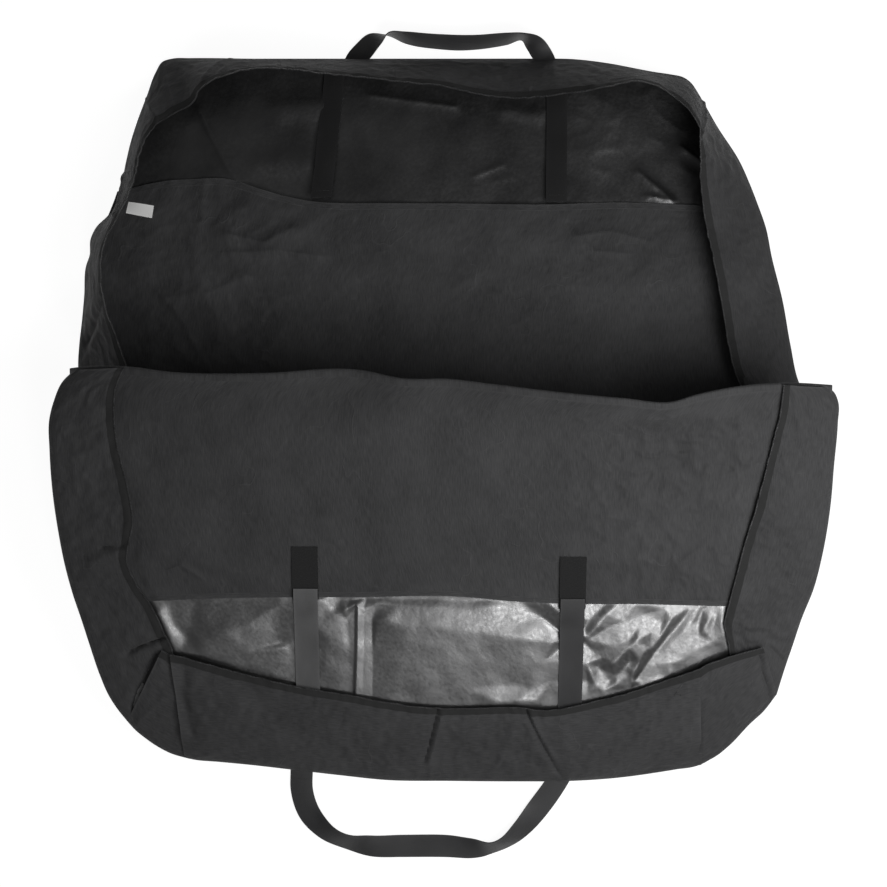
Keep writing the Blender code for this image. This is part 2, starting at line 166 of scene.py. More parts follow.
class Ripple:
    """Seeded gradient noise over a plane, for cloth that is not quite flat."""

    CELLS = 64

    def __init__(self, seed: int) -> None:
        """Draws the lattice's directions from the seed."""
        turns = np.random.default_rng(seed).uniform(0, 2 * math.pi, (self.CELLS, self.CELLS))
        self.grid = np.stack((np.cos(turns), np.sin(turns)), axis=-1)

    def at(self, x: Points, y: Points, wave: float) -> Points:
        """Noise between about -1 and 1.

        Args:
            x: First coordinates.
            y: Second coordinates.
            wave: The size of one ripple in metres.

        Returns:
            One value for each point.
        """
        gx, gy = x / wave + 17.3, y / wave + 9.1
        ix, iy = np.floor(gx).astype(int), np.floor(gy).astype(int)
        fx, fy = gx - ix, gy - iy
        ux, uy = smooth(fx), smooth(fy)
        corner = {}
        for i in (0, 1):
            for j in (0, 1):
                way = self.grid[(ix + i) % self.CELLS, (iy + j) % self.CELLS]
                corner[i, j] = way[..., 0] * (fx - i) + way[..., 1] * (fy - j)
        low = corner[0, 0] * (1 - ux) + corner[1, 0] * ux
        high = corner[0, 1] * (1 - ux) + corner[1, 1] * ux
        return 1.5 * (low * (1 - uy) + high * uy)

    def folds(self, x: Points, y: Points, wave: float) -> Points:
        """Sharp-crested noise, with its arguments as for at: 0 in the hollows, 1 on the crests."""
        bend = 0.35 * wave * self.at(y, x, wave * 1.7)
        return 1 - np.minimum(1, 2.2 * np.abs(self.at(x + bend, y - bend, wave)))


@dataclass(frozen=True)
class Crease:
    """One crest or hollow along a line on a cloth.

    Attributes:
        line: The points of the line, in the cloth's own two coordinates.
        width: How far its sides reach.
        height: Its height, negative for a hollow.
        sharp: True for a crest like a knife edge, False for a rounded one.
    """

    line: Sequence[Pair]
    width: float
    height: float
    sharp: bool = True

    def at(self, x: Points, y: Points) -> Points:
        """The crease's height over a cloth.

        Args:
            x: First coordinates of its points.
            y: Second coordinates.

        Returns:
            One height for each point.
        """
        best = np.full(x.shape, 1e9)
        for (ax, ay), (bx, by) in zip(self.line, self.line[1:]):
            dx, dy = bx - ax, by - ay
            t = np.clip(((x - ax) * dx + (y - ay) * dy) / (dx * dx + dy * dy), 0, 1)
            best = np.minimum(best, np.hypot(x - ax - t * dx, y - ay - t * dy))
        reach = best / self.width
        shape = np.exp(-1.6 * reach) if self.sharp else np.exp(-reach * reach)
        return self.height * shape


def creased(creases: Sequence[Crease], x: Points, y: Points) -> Points:
    """The heights of all the creases of a cloth, added up."""
    return sum((crease.at(x, y) for crease in creases), np.zeros(x.shape))


@dataclass(frozen=True)
class Crumple:
    """Crushed cloth: flat facets that meet along sharp folds.

    Attributes:
        folds: Lines of corners: two places on the cloth in metres and a height in millimetres.
        margin: How far outside the folds the cloth is flat again.
    """

    folds: Sequence[Sequence[Triple]]
    margin: float = 0.03

    def corners(self) -> tuple[Points, list[tuple[int, int]]]:
        """The corners of the facets.

        Returns:
            Every corner with a flat frame round them all, and the pairs that a fold joins.
        """
        rows = [corner for line in self.folds for corner in line]
        joined, first = [], 0
        for line in self.folds:
            joined += [(first + i, first + i + 1) for i in range(len(line) - 1)]
            first += len(line)
        places = np.array(rows)[:, :2]
        low, high = places.min(axis=0) - self.margin, places.max(axis=0) + self.margin
        frame_x, frame_y = np.linspace(low[0], high[0], 14), np.linspace(low[1], high[1], 5)
        rows += [(x, y, 0.0) for x in frame_x for y in (low[1], high[1])]
        rows += [(x, y, 0.0) for y in frame_y[1:-1] for x in (low[0], high[0])]
        return np.array(rows), joined

    def at(self, x: Points, y: Points) -> Points:
        """The height of the crushed cloth.

        Args:
            x: First coordinates of its points.
            y: Second coordinates.

        Returns:
            One height for each point, in metres.
        """
        corners, joined = self.corners()
        flat = [Vector(corner[:2]) for corner in corners]
        places, _, faces, origins, *_ = delaunay_2d_cdt(flat, joined, [], 0, 1e-5)
        known = [corners[origin[0], 2] if origin else 0.0 for origin in origins]
        lift = np.zeros(x.shape)
        for face in faces:
            (ax, ay), (bx, by), (cx, cy) = (places[i] for i in face)
            whole = (by - cy) * (ax - cx) + (cx - bx) * (ay - cy)
            a = ((by - cy) * (x - cx) + (cx - bx) * (y - cy)) / whole
            b = ((cy - ay) * (x - cx) + (ax - cx) * (y - cy)) / whole
            inside = (a >= 0) & (b >= 0) & (a + b <= 1)
            value = a * known[face[0]] + b * known[face[1]] + (1 - a - b) * known[face[2]]
            lift[inside] = value[inside]
        return lift * MILLIMETRE


def soften(grid: Points, times: int) -> Points:
    """A grid with each value drawn towards its neighbours.

    Args:
        grid: The grid.
        times: How many times that is done.

    Returns:
        The new grid.
    """
    for _ in range(times):
        wide = np.pad(grid, 1, mode="edge")
        rows = (wide[:-2] + 2 * wide[1:-1] + wide[2:]) / 4
        grid = (rows[:, :-2] + 2 * rows[:, 1:-1] + rows[:, 2:]) / 4
    return grid


# Finishes


class Graph:
    """The nodes of a material or world, made and joined in few words."""

    def __init__(self, owner: bpy.types.ID, shader: str = "Principled BSDF") -> None:
        """Takes up a new material or world.

        Args:
            owner: The material or world.
            shader: The name of the one shader that it starts with.
        """
        owner.use_nodes = True
        self.tree = owner.node_tree
        self.shader = self.tree.nodes[shader]

    def set(self, **values: float | tuple) -> None:
        """Sets uniform values on the shader's own sockets, named with underscores."""
        for key, value in values.items():
            self.shader.inputs[key.replace("_", " ")].default_value = value

    def node(self, kind: str, inputs: dict | None = None, **settings: object) -> bpy.types.Node:
        """Makes a node.

        Args:
            kind: The node's type, without its ShaderNode prefix.
            inputs: Socket values or sockets to link, by socket name or number.
            settings: Properties of the node.

        Returns:
            The node.
        """
        made = self.tree.nodes.new("ShaderNode" + kind)
        for key, value in settings.items():
            setattr(made, key, value)
        for key, value in (inputs or {}).items():
            if isinstance(value, bpy.types.NodeSocket):
                self.tree.links.new(value, made.inputs[key])
            else:
                made.inputs[key].default_value = value
        return made

    def link(self, socket: bpy.types.NodeSocket, key: str) -> None:
        """Joins a socket to one of the shader's."""
        self.tree.links.new(socket, self.shader.inputs[key])

    def cloth(self, scale: Triple) -> bpy.types.NodeSocket:
        """The place in the cut cloth, in metres, times a scale.

        Args:
            scale: The scale of each coordinate.

        Returns:
            The place's socket.
        """
        place = self.node("Attribute", attribute_name=CLOTH_ATTRIBUTE).outputs["Vector"]
        scaled = self.node("VectorMath", {0: place, 1: scale}, operation="MULTIPLY")
        return scaled.outputs["Vector"]

    def noise(self, scale: Triple, detail: float = 2.0) -> bpy.types.NodeSocket:
        """Noise over the cloth, with its scale in ripples to the metre."""
        inputs = {"Vector": self.cloth(scale), "Scale": 1.0, "Detail": detail}
        return self.node("TexNoise", inputs).outputs["Fac"]

    def ribs(self, scale: Triple) -> bpy.types.NodeSocket:
        """Ribs across the cloth.

        Args:
            scale: Ribs to the metre along each coordinate.

        Returns:
            The socket of their height, from 0 to 1.
        """
        turn = 2 * math.pi / 20
        vector = self.cloth(tuple(turn * part for part in scale))
        inputs = {"Vector": vector, "Scale": 1.0}
        return self.node("TexWave", inputs, wave_profile="SIN").outputs["Fac"]

    def maths(self, operation: str, a: object, b: object) -> bpy.types.NodeSocket:
        """The result of a sum, product or other operation on two values."""
        return self.node("Math", {0: a, 1: b}, operation=operation).outputs[0]

    def spread(self, value: bpy.types.NodeSocket, low: float, high: float) -> bpy.types.NodeSocket:
        """The middle range of a noise, stretched between two values."""
        inputs = {"Value": value, 1: 0.3, 2: 0.7, 3: low, 4: high}
        return self.node("MapRange", inputs).outputs["Result"]

    def tint(self, share: bpy.types.NodeSocket, dark: Triple, light: Triple) -> bpy.types.NodeSocket:
        """A colour between two, by a share."""
        inputs = {0: share, 6: (*dark, 1.0), 7: (*light, 1.0)}
        return self.node("Mix", inputs, data_type="RGBA").outputs[2]

    def bumps(self, layers: Sequence[tuple[bpy.types.NodeSocket, float]]) -> None:
        """Stacks bump layers on the shader's normal.

        Args:
            layers: The socket of each layer's height, from 0 to 1, and its depth in metres.
        """
        normal = None
        for height, depth in layers:
            inputs = {"Height": height, "Distance": depth, "Strength": 1.0}
            if normal:
                inputs["Normal"] = normal
            normal = self.node("Bump", inputs).outputs["Normal"]
        self.link(normal, "Normal")

    def wear(self) -> bpy.types.NodeSocket:
        """How close the point is to a rubbed edge, from 0 to 1."""
        return self.node("Attribute", attribute_name=WEAR_ATTRIBUTE).outputs["Fac"]


@dataclass(frozen=True)
class Finish:
    """A finish that makes its material the first time that a piece asks for it.

    Attributes:
        name: The material's name.
        dark: The colour in its hollows.
        light: The colour of what is raised or rubbed.
        roughness: Its middle roughness.
    """

    name: str
    dark: Triple
    light: Triple
    roughness: float = 0.70

    def material(self) -> bpy.types.Material:
        """The finish's material.

        Returns:
            The material, made the first time only.
        """
        known = bpy.data.materials.get(self.name)
        if known:
            return known
        made = bpy.data.materials.new(self.name)
        self.dress(Graph(made))
        return made

    def dress(self, graph: Graph) -> None:
        """Makes the material's nodes."""
        raise NotImplementedError


@dataclass(frozen=True)
class Woven(Finish):
    """Plain thin nylon with a fine uneven grain along its length.

    Attributes:
        sheen: The strength of the soft edge sheen.
        crinkle: The depth of its small creases.
        marks: How much lighter the crease lines are painted, a painted highlight along creases.
    """

    sheen: float = 0.10
    crinkle: float = 0.0016
    marks: float = 0.32

    def dress(self, graph: Graph) -> None:
        """Makes the grain, the weave, the small creases and the rubbed edges, with painted highlights on the
        crease lines and the wrinkles' crests.

        Args:
            graph: The new material's nodes.
        """
        grain = graph.noise((560, 55, 1), 4.0)
        blotch = graph.noise((9, 6, 1), 4.0)
        crinkle = graph.noise((75, 60, 1), 5.0)
        wrinkle = graph.noise((24, 19, 1), 2.0)
        threads = graph.maths("MULTIPLY", graph.ribs((1300, 0, 0)), graph.noise((90, 1500, 1)))
        # mark: thin lines along a noise's middle, painted lighter as a highlight along creases; they also
        # bump the cloth.
        mark = graph.noise((16, 13, 1), 1.5)
        mark = graph.maths("ABSOLUTE", graph.maths("SUBTRACT", mark, 0.5), 0.0)
        lines = {"Value": mark, 1: 0.0, 2: 0.010, 3: 1.0, 4: 0.0}
        mark = graph.node("MapRange", lines).outputs["Result"]
        mark = graph.maths("MULTIPLY", mark, graph.spread(graph.noise((7, 8, 1), 2.0), -0.4, 0.8))
        mark = graph.maths("MAXIMUM", mark, 0.0)
        share = graph.maths("ADD", graph.spread(grain, 0.08, 0.46), graph.spread(blotch, 0.0, 0.34))
        # The large wrinkles are painted a little lighter where they are raised: painted shading that follows
        # their bump.
        share = graph.maths("ADD", share, graph.spread(wrinkle, -0.05, 0.05))
        share = graph.maths("ADD", share, graph.maths("MULTIPLY", graph.wear(), 0.18))
        share = graph.maths("ADD", share, graph.maths("MULTIPLY", mark, self.marks))
        graph.link(graph.tint(share, self.dark, self.light), "Base Color")
        rough = graph.spread(blotch, self.roughness - 0.07, self.roughness + 0.07)
        graph.link(rough, "Roughness")
        graph.set(Sheen_Weight=self.sheen, Sheen_Roughness=0.5, Specular_IOR_Level=0.3)
        folds = ((wrinkle, 2 * self.crinkle), (crinkle, self.crinkle), (mark, 0.0006))
        graph.bumps((*folds, (grain, 0.00016), (threads, 0.00012)))


@dataclass(frozen=True)
class Coated(Finish):
    """Nylon with a glossy waterproof coating, which shines where it is creased.

    Attributes:
        metallic: How much it shines like foil.
        crinkle: The depth of its small creases.
    """

    metallic: float = 0.80
    crinkle: float = 0.0006

    def dress(self, graph: Graph) -> None:
        """Makes the coating's patches, its small sharp creases and the weave under it.

        Args:
            graph: The new material's nodes.
        """
        patch = graph.noise((11, 9, 1), 3.0)
        crinkle = graph.noise((38, 30, 1), 4.0)
        fine = graph.noise((160, 150, 1), 3.0)
        squares = graph.maths("ADD", graph.ribs((420, 0, 0)), graph.ribs((0, 420, 0)))
        share = graph.maths("ADD", graph.spread(patch, 0.1, 0.8), graph.maths("MULTIPLY", graph.wear(), 0.2))
        graph.link(graph.tint(share, self.dark, self.light), "Base Color")
        graph.link(graph.spread(fine, self.roughness - 0.06, self.roughness + 0.08), "Roughness")
        graph.set(Metallic=self.metallic, Specular_IOR_Level=0.7)
        graph.bumps(((crinkle, self.crinkle), (fine, 0.00006), (squares, 0.000006)))


@dataclass(frozen=True)
class Ribbed(Finish):
    """Woven tape or webbing with ribs along its length.

    Attributes:
        pitch: The distance between its ribs.
        depth: The depth of its ribs.
    """

    pitch: float = 0.0009
    depth: float = 0.00008

    def dress(self, graph: Graph) -> None:
        """Makes the ribs, the picks across them, and the rubbed edges.

        Args:
            graph: The new material's nodes.
        """
        rib = graph.ribs((0.5 / self.pitch, 0, 0))
        pick = graph.noise((900, 620, 1), 2.0)
        blotch = graph.noise((30, 12, 1), 3.0)
        share = graph.maths("MULTIPLY", rib, graph.spread(pick, 0.5, 1.0))
        share = graph.maths("ADD", share, graph.spread(blotch, -0.15, 0.2))
        share = graph.maths("ADD", share, graph.maths("MULTIPLY", graph.wear(), 0.3))
        graph.link(graph.tint(share, self.dark, self.light), "Base Color")
        graph.link(graph.spread(blotch, self.roughness - 0.08, self.roughness + 0.08), "Roughness")
        graph.set(Sheen_Weight=0.15, Sheen_Roughness=0.4, Specular_IOR_Level=0.35)
        graph.bumps(((rib, self.depth), (pick, 0.0002)))


@dataclass(frozen=True)
class Looped(Finish):
    """The fuzzy loop side of a touch fastener."""

    def dress(self, graph: Graph) -> None:
        """Makes the pile and its lighter tips.

        Args:
            graph: The new material's nodes.
        """
        pile = graph.noise((1400, 1400, 1), 4.0)
        tuft = graph.noise((350, 350, 1), 3.0)
        share = graph.maths("MULTIPLY", graph.spread(pile, 0, 1), graph.spread(tuft, 0.3, 1))
        graph.link(graph.tint(share, self.dark, self.light), "Base Color")
        graph.link(graph.spread(tuft, 0.85, 1.0), "Roughness")
        graph.set(Sheen_Weight=0.3, Sheen_Roughness=0.6, Specular_IOR_Level=0.15)
        graph.bumps(((tuft, 0.0006), (pile, 0.0004)))


@dataclass(frozen=True)
class Moulded(Finish):
    """Hard parts: nylon coil, painted metal, each with fine rubbed marks.

    Attributes:
        metallic: 1 for bare metal, 0 for nylon or paint.
    """

    metallic: float = 0.0

    def dress(self, graph: Graph) -> None:
        """Makes the rubbed marks from the object's own coordinates.

        Args:
            graph: The new material's nodes.
        """
        place = graph.node("TexCoord").outputs["Object"]
        marks = graph.node("TexNoise", {"Vector": place, "Scale": 420.0, "Detail": 5.0}).outputs["Fac"]
        rub = graph.node("TexNoise", {"Vector": place, "Scale": 90.0, "Detail": 2.0}).outputs["Fac"]
        graph.link(graph.tint(graph.spread(rub, 0, 1), self.dark, self.light), "Base Color")
        graph.link(graph.spread(marks, self.roughness - 0.08, self.roughness + 0.12), "Roughness")
        graph.set(Metallic=self.metallic)
        graph.bumps(((marks, 0.00005),))


OUTER = Woven("outer_nylon", (0.022, 0.022, 0.023), (0.086, 0.086, 0.088))
POCKET = Woven("pocket_nylon", (0.022, 0.022, 0.023), (0.088, 0.088, 0.090), 0.68, 0.08, 0.0010)
COATED = Coated("silver_coating", (0.170, 0.170, 0.171), (0.310, 0.310, 0.312), 0.34, 0.93)
# A darker copy of the silver coating, painted shade for the tub's flat lining, which reflects no lamp into
# the camera.
SHADED_COATING = Coated("shaded_coating", (0.050, 0.050, 0.051), (0.120, 0.120, 0.121), 0.36)
WEBBING = Ribbed("nylon_webbing", (0.026, 0.026, 0.027), (0.064, 0.064, 0.066), 0.50)
# A lighter copy of the webbing, painted light for the front left strap where it catches the lamps.
LIT_WEBBING = Ribbed("lit_webbing", (0.070, 0.070, 0.071), (0.150, 0.150, 0.152), 0.42)
BLACK_WEBBING = Ribbed("black_webbing", (0.006, 0.006, 0.006), (0.020, 0.020, 0.021))
TAPE = Ribbed("zip_tape", (0.034, 0.034, 0.035), (0.148, 0.148, 0.150))
THREAD = Ribbed("stitching", (0.024, 0.024, 0.025), (0.068, 0.068, 0.069), 0.70, 0.0010, 0.0002)
LOOPS = Looped("loop_pile", (0.004, 0.004, 0.004), (0.028, 0.028, 0.029))
COIL = Moulded("zip_coil", (0.024, 0.024, 0.025), (0.080, 0.080, 0.082), 0.42)
METAL = Moulded("zip_metal", (0.040, 0.040, 0.042), (0.160, 0.160, 0.165), 0.36, 1.0)
LABEL = Ribbed("label_satin", (0.80, 0.80, 0.79), (0.98, 0.98, 0.97), 0.50, 0.0006, 0.00005)


# Cloth


def mesh_object(name: str, points: Points, quads: Points, finish: Finish) -> bpy.types.Object:
    """A smooth mesh object from its points and four-sided faces.

    Args:
        name: The object's name.
        points: One row for each vertex.
        quads: Four vertex numbers for each face.
        finish: The finish that it wears.

    Returns:
        The object, in the scene.
    """
    mesh = bpy.data.meshes.new(name)
    mesh.vertices.add(len(points))
    mesh.vertices.foreach_set("co", np.ascontiguousarray(points, np.float32).ravel())
    mesh.loops.add(quads.size)
    mesh.loops.foreach_set("vertex_index", np.ascontiguousarray(quads, np.int32).ravel())
    mesh.polygons.add(len(quads))
    mesh.polygons.foreach_set("loop_start", np.arange(0, quads.size, 4, dtype=np.int32))
    mesh.update(calc_edges=True)
    mesh.validate()
    mesh.shade_smooth()
    mesh.set_sharp_from_angle(angle=SHARP_ANGLE)
    mesh.materials.append(finish.material())
    piece = bpy.data.objects.new(name, mesh)
    bpy.context.scene.collection.objects.link(piece)
    return piece


def mark(piece: bpy.types.Object, flat: Points, wear: Points | None = None) -> None:
    """Writes a mesh's attributes for its finish.

    Args:
        piece: The object.
        flat: The place of each of its vertices in the cut cloth.
        wear: How rubbed each vertex is, from 0 to 1, or None where nothing is.
    """
    cut = piece.data.attributes.new(CLOTH_ATTRIBUTE, "FLOAT_VECTOR", "POINT")
    cut.data.foreach_set("vector", np.ascontiguousarray(flat, np.float32).ravel())
    rubbed = piece.data.attributes.new(WEAR_ATTRIBUTE, "FLOAT", "POINT")
    if wear is not None:
        rubbed.data.foreach_set("value", np.ascontiguousarray(wear, np.float32).ravel())


@dataclass
class Cloth:
    """A sheet as a grid of points at the middle of its thickness.

    Attributes:
        points: The grid, rows along the cloth and columns across it.
        thickness: The cloth's thickness.
    """

    points: Points
    thickness: float
    flat: Points = field(init=False)
    way: Points = field(init=False)

    def __post_init__(self) -> None:
        """Measures each point's normal and its place in the cut cloth."""
        normal = np.cross(np.gradient(self.points, axis=0), np.gradient(self.points, axis=1))
        self.way = normal / np.maximum(np.linalg.norm(normal, axis=2, keepdims=True), 1e-12)
        along = np.linalg.norm(np.diff(self.points, axis=0), axis=2)
        across = np.linalg.norm(np.diff(self.points, axis=1), axis=2)
        rows, columns = self.points.shape[:2]
        u = np.zeros((rows, columns))
        v = np.zeros((rows, columns))
        u[1:] = np.cumsum(along, axis=0).mean(axis=1)[:, None]
        v[:, 1:] = np.cumsum(across, axis=1)
        self.flat = np.stack((v, u, np.zeros((rows, columns))), axis=-1)

    def raised(self, heights: Points | float) -> "Cloth":
        """The cloth with its points moved along their normals.

        Args:
            heights: How far, for each point or for all.

        Returns:
            The new cloth, with the same cut.
        """
        step = heights[..., None] if isinstance(heights, np.ndarray) else heights
        moved = Cloth(self.points + self.way * step, self.thickness)
        moved.flat = self.flat
        return moved

    def part(self, rows: slice, columns: slice) -> "Cloth":
        """A part of the cloth.

        Args:
            rows: Its rows.
            columns: Its columns.

        Returns:
            The part, with the normals and the cut of the whole.
        """
        piece = Cloth(self.points[rows, columns], self.thickness)
        piece.flat, piece.way = self.flat[rows, columns], self.way[rows, columns]
        return piece

    def build(self, name: str, finish: Finish) -> bpy.types.Object:
        """Makes the closed sheet.

        Args:
            name: The object's name.
            finish: The finish that it wears.

        Returns:
            The object.
        """
        rows, columns = self.points.shape[:2]
        half = self.way * self.thickness / 2
        points = np.concatenate(((self.points + half).reshape(-1, 3), (self.points - half).reshape(-1, 3)))
        number = np.arange(rows * columns).reshape(rows, columns)
        a, b, c, d = number[:-1, :-1], number[1:, :-1], number[1:, 1:], number[:-1, 1:]
        top = np.stack((a, b, c, d), axis=-1).reshape(-1, 4)
        low = top[:, ::-1] + rows * columns
        ring = np.concatenate((number[:, 0], number[-1, 1:], number[-2::-1, -1], number[0, -2:0:-1]))
        after = np.roll(ring, -1)
        rim = np.stack((after, ring, ring + rows * columns, after + rows * columns), axis=-1)
        piece = mesh_object(name, points, np.concatenate((top, low, rim)), finish)
        v, u = self.flat[..., 0], self.flat[..., 1]
        sides = np.minimum(v - v[:, :1], v[:, -1:] - v)
        ends = np.minimum(u, u[-1:] - u)
        near = np.clip(1 - np.minimum(sides, ends) / WEAR_REACH, 0, 1)
        mark(piece, np.stack((self.flat, self.flat)), np.stack((near, near)))
        return piece


def patch(bottom: Points, right: Points, top: Points, left: Points) -> Points:
    """A grid between four edges that meet at its corners.

    Args:
        bottom: The lower edge, from left to right.
        right: The right edge, from bottom to top.
        top: The upper edge, from left to right.
        left: The left edge, from bottom to top.

    Returns:
        The grid, rows from the bottom up and columns from left to right.
    """
    u = np.linspace(0, 1, len(bottom))[None, :, None]
    v = np.linspace(0, 1, len(left))[:, None, None]
    rails = (1 - v) * bottom[None] + v * top[None] + (1 - u) * left[:, None] + u * right[:, None]
    corners = (1 - u) * (1 - v) * bottom[0] + u * (1 - v) * bottom[-1]
    corners = corners + (1 - u) * v * top[0] + u * v * top[-1]
    return rails - corners


def crowded(grid: Points, count: int, busy: Sequence[Triple]) -> Points:
    """A grid with other rows, closer together where its cloth is busy.

    Args:
        grid: The grid.
        count: The number of its new rows.
        busy: Where each busy part begins and ends, as shares of the rows, and how much denser it is.

    Returns:
        The new grid.
    """
    share = np.linspace(0, 1, 1200)
    weight = np.ones(1200)
    for first, last, more in busy:
        weight += more * smooth((share - first + 0.01) / 0.02) * smooth((last + 0.01 - share) / 0.02)
    total = lengths(np.cumsum(weight)[:, None])
    places = np.interp(np.linspace(0, total[-1], count), total, share) * (len(grid) - 1)
    flat = hermite(np.arange(float(len(grid))), grid.reshape(len(grid), -1), places)
    return flat.reshape(count, *grid.shape[1:])


def ribbon(path: Points, sides: Points, width: float, columns: int) -> Points:
    """The grid of a tape along a path.

    Args:
        path: The middle of the tape.
        sides: The way across it at each point.
        width: Its width.
        columns: The number of columns across it.

    Returns:
        The grid.
    """
    unit = sides / np.linalg.norm(sides, axis=1, keepdims=True)
    across = np.linspace(-width / 2, width / 2, columns)
    return path[:, None] + unit[:, None] * across[None, :, None]


def tube(name: str, path: Points, radius: float, finish: Finish, sides: int = 10) -> bpy.types.Object:
    """A round bead along a path, closed at its ends.

    Args:
        name: The object's name.
        path: The middle of the bead.
        radius: Its radius.
        finish: The finish that it wears.
        sides: The number of faces round it.

    Returns:
        The object.
    """
    along = np.gradient(path, axis=0)
    along /= np.linalg.norm(along, axis=1, keepdims=True)
    side = np.cross(along, (0.0, 0.0, 1.0))
    side /= np.linalg.norm(side, axis=1, keepdims=True)
    up = np.cross(side, along)
    turn = np.linspace(0, 2 * math.pi, sides, endpoint=False)[None, :, None]
    reach = np.full(len(path), radius)
    reach[0] = reach[-1] = radius * 0.15
    ring = path[:, None] + reach[:, None, None] * (side[:, None] * np.cos(turn) + up[:, None] * np.sin(turn))
    number = np.arange(len(path) * sides).reshape(len(path), sides)
    after = np.roll(number, -1, axis=1)
    body = np.stack((number[:-1], number[1:], after[1:], after[:-1]), axis=-1).reshape(-1, 4)
    half = sides // 2
    cap = [[number[0, j] for j in (i, i + 1, -i - 2, -i - 1)] for i in range(half - 1)]
    end = [[number[-1, j] for j in (-i - 1, -i - 2, i + 1, i)] for i in range(half - 1)]
    piece = mesh_object(name, ring.reshape(-1, 3), np.concatenate((body, cap, end)), finish)
    u = np.repeat(lengths(path), sides)
    v = np.tile(np.linspace(0, 2 * math.pi * radius, sides), len(path))
    mark(piece, np.stack((v, u, 0 * u), axis=-1))
    return piece


def beads(
    name: str, path: Points, across: Points, pitch: float, size: Triple, finish: Finish
) -> bpy.types.Object:
    """A row of small bevelled blocks along a path, such as zip teeth or stitches.

    Args:
        name: The object's name.
        path: The row's line.
        across: The way across the row at each point of the path.
        pitch: The distance between blocks.
        size: A block's length along the path, width across it, and height.
        finish: The finish that they wear.

    Returns:
        One object with all the blocks.
    """
    along = lengths(path)
    places = np.arange(pitch / 2, along[-1], pitch)
    middle = np.stack([np.interp(places, along, path[:, i]) for i in range(3)], axis=-1)
    side = np.stack([np.interp(places, along, across[:, i]) for i in range(3)], axis=-1)
    side /= np.linalg.norm(side, axis=1, keepdims=True)
    way = np.gradient(middle, axis=0)
    way /= np.linalg.norm(way, axis=1, keepdims=True)
    up = np.cross(side, way)
    rim = np.array([(1, 0.6), (0.6, 1), (-0.6, 1), (-1, 0.6), (-1, -0.6), (-0.6, -1), (0.6, -1), (1, -0.6)])
    layers = []
    for height, share in ((-1, 0.7), (-0.5, 1.0), (0.5, 1.0), (1, 0.7)):
        flat = rim[:, :1, None] * way[None] * size[0] + rim[:, 1:, None] * side[None] * size[1]
        layers.append(middle[None] + share * flat / 2 + up[None] * height * size[2] / 2)
    points = np.stack(layers).transpose(2, 0, 1, 3)
    count = len(places)
    number = np.arange(count * 32).reshape(count, 4, 8)
    after = np.roll(number, -1, axis=2)
    wall = np.stack((number[:, :-1], number[:, 1:], after[:, 1:], after[:, :-1]), axis=-1)
    low, high = number[:, 0], number[:, -1]
    caps = []
    for i, j, k, m in ((0, 1, 2, 3), (0, 3, 4, 7), (4, 5, 6, 7)):
        caps.append(np.stack((low[:, i], low[:, j], low[:, k], low[:, m]), axis=-1))
        caps.append(np.stack((high[:, m], high[:, k], high[:, j], high[:, i]), axis=-1))
    quads = np.concatenate([wall.reshape(-1, 4)] + caps)
    piece = mesh_object(name, points.reshape(-1, 3), quads, finish)
    mark(piece, points)
    return piece


@dataclass(frozen=True)
class Bend:
    """A joint that a piece spans.

    Attributes:
        still: The body before start.
        moving: The body after end.
        start: Where the bend begins.
        end: Where the bend is complete.
    """

    still: str
    moving: str
    start: Triple
    end: Triple


def place(
    piece: bpy.types.Object, carrier: str | Bend, slot: Slot, nodes: Sequence[str] = ()
) -> bpy.types.Object:
    """Puts a finished piece on the body that carries it, or leaves it where it is, with its transform
    applied, when given a bend.

    Args:
        piece: The piece, in its place.
        carrier: The body that it rides on, or a bend, which leaves it where it is.
        slot: The material slot that its finish belongs to; not used.
        nodes: The solids that it stands for.

    Returns:
        The piece.
    """
    if isinstance(carrier, Bend):
        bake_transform(piece)
    else:
        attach(piece, carrier)
    if nodes:
        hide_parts(*nodes)
    LOG.info("%s: %d faces", piece.name, len(piece.data.polygons))
    return piece


def lay(
    name: str, cloth: Cloth, finish: Finish, carrier: str | Bend, slot: Slot, nodes: Sequence[str],
) -> None:
    """Makes a sheet of cloth and puts it on what carries it.

    Args:
        name: The sheet's name.
        cloth: Its cloth.
        finish: The finish that it wears.
        carrier: The body that it rides on, or a bend, which leaves it where it is.
        slot: The material slot that its finish belongs to.
        nodes: The solids that it stands for.
    """
    piece = place(cloth.build(name, finish), carrier, slot, nodes)


def hem(side: str, cloth: Cloth, body: str, up: Points) -> None:
    """Makes the folded hem along a pocket's mouth, with its row of stitches.

    Args:
        side: The half that it belongs to, front or back.
        cloth: The pocket's cloth, whose last row is the mouth.
        body: The body that carries it.
        up: The way off the cloth.
    """
    rim = cloth.points[-1]
    below = cloth.points[-6] - rim
    fold = Cloth(rim[:, None] + below[:, None] * np.linspace(0.0, 1.0, 6)[None, :, None], 0.0013)
    strip = fold.build(f"{side}_pocket_hem_cloth", POCKET)
    place(strip, body, Slot.WEBBING, [f"{side}_pocket_hem"])
    sewn = fold.points[:, 4] + up * 0.0007
    across = np.tile(np.cross(up, (1.0, 0.0, 0.0)), (len(sewn), 1))
    row = beads(f"{side}_pocket_hem_stitches", sewn, across, 0.0036, (0.0028, 0.0006, 0.0004), THREAD)
    place(row, body, Slot.WEBBING)


# The bag's walls


@dataclass(frozen=True)
class Run:
    """One sewn length of a band of walls.

    Attributes:
        name: Its name, such as back_left.
        first: The station of the seam where it begins.
        last: The station where it ends.
        carrier: The body or bend that carries it.
        solids: The name of its solids, without _wall or _zip.
    """

    name: str
    first: int
    last: int
    carrier: str | Bend
    solids: str


@dataclass(frozen=True)
class Drape:
    """How a wall's cloth hangs between its seam and its free edge.

    Attributes:
        bulge: How far its middle stands out.
        rolled: True when the cloth turns over its seam at once and then lies flat.
        ripple: The height of its wrinkles.
        seed: The seed of its wrinkles.
        tape: The visible width of its zip tape.
        creases: Creases, in metres along the seam and up the wall.
    """

    bulge: float
    rolled: bool
    ripple: float
    seed: int
    tape: float
    creases: Sequence[Crease] = ()


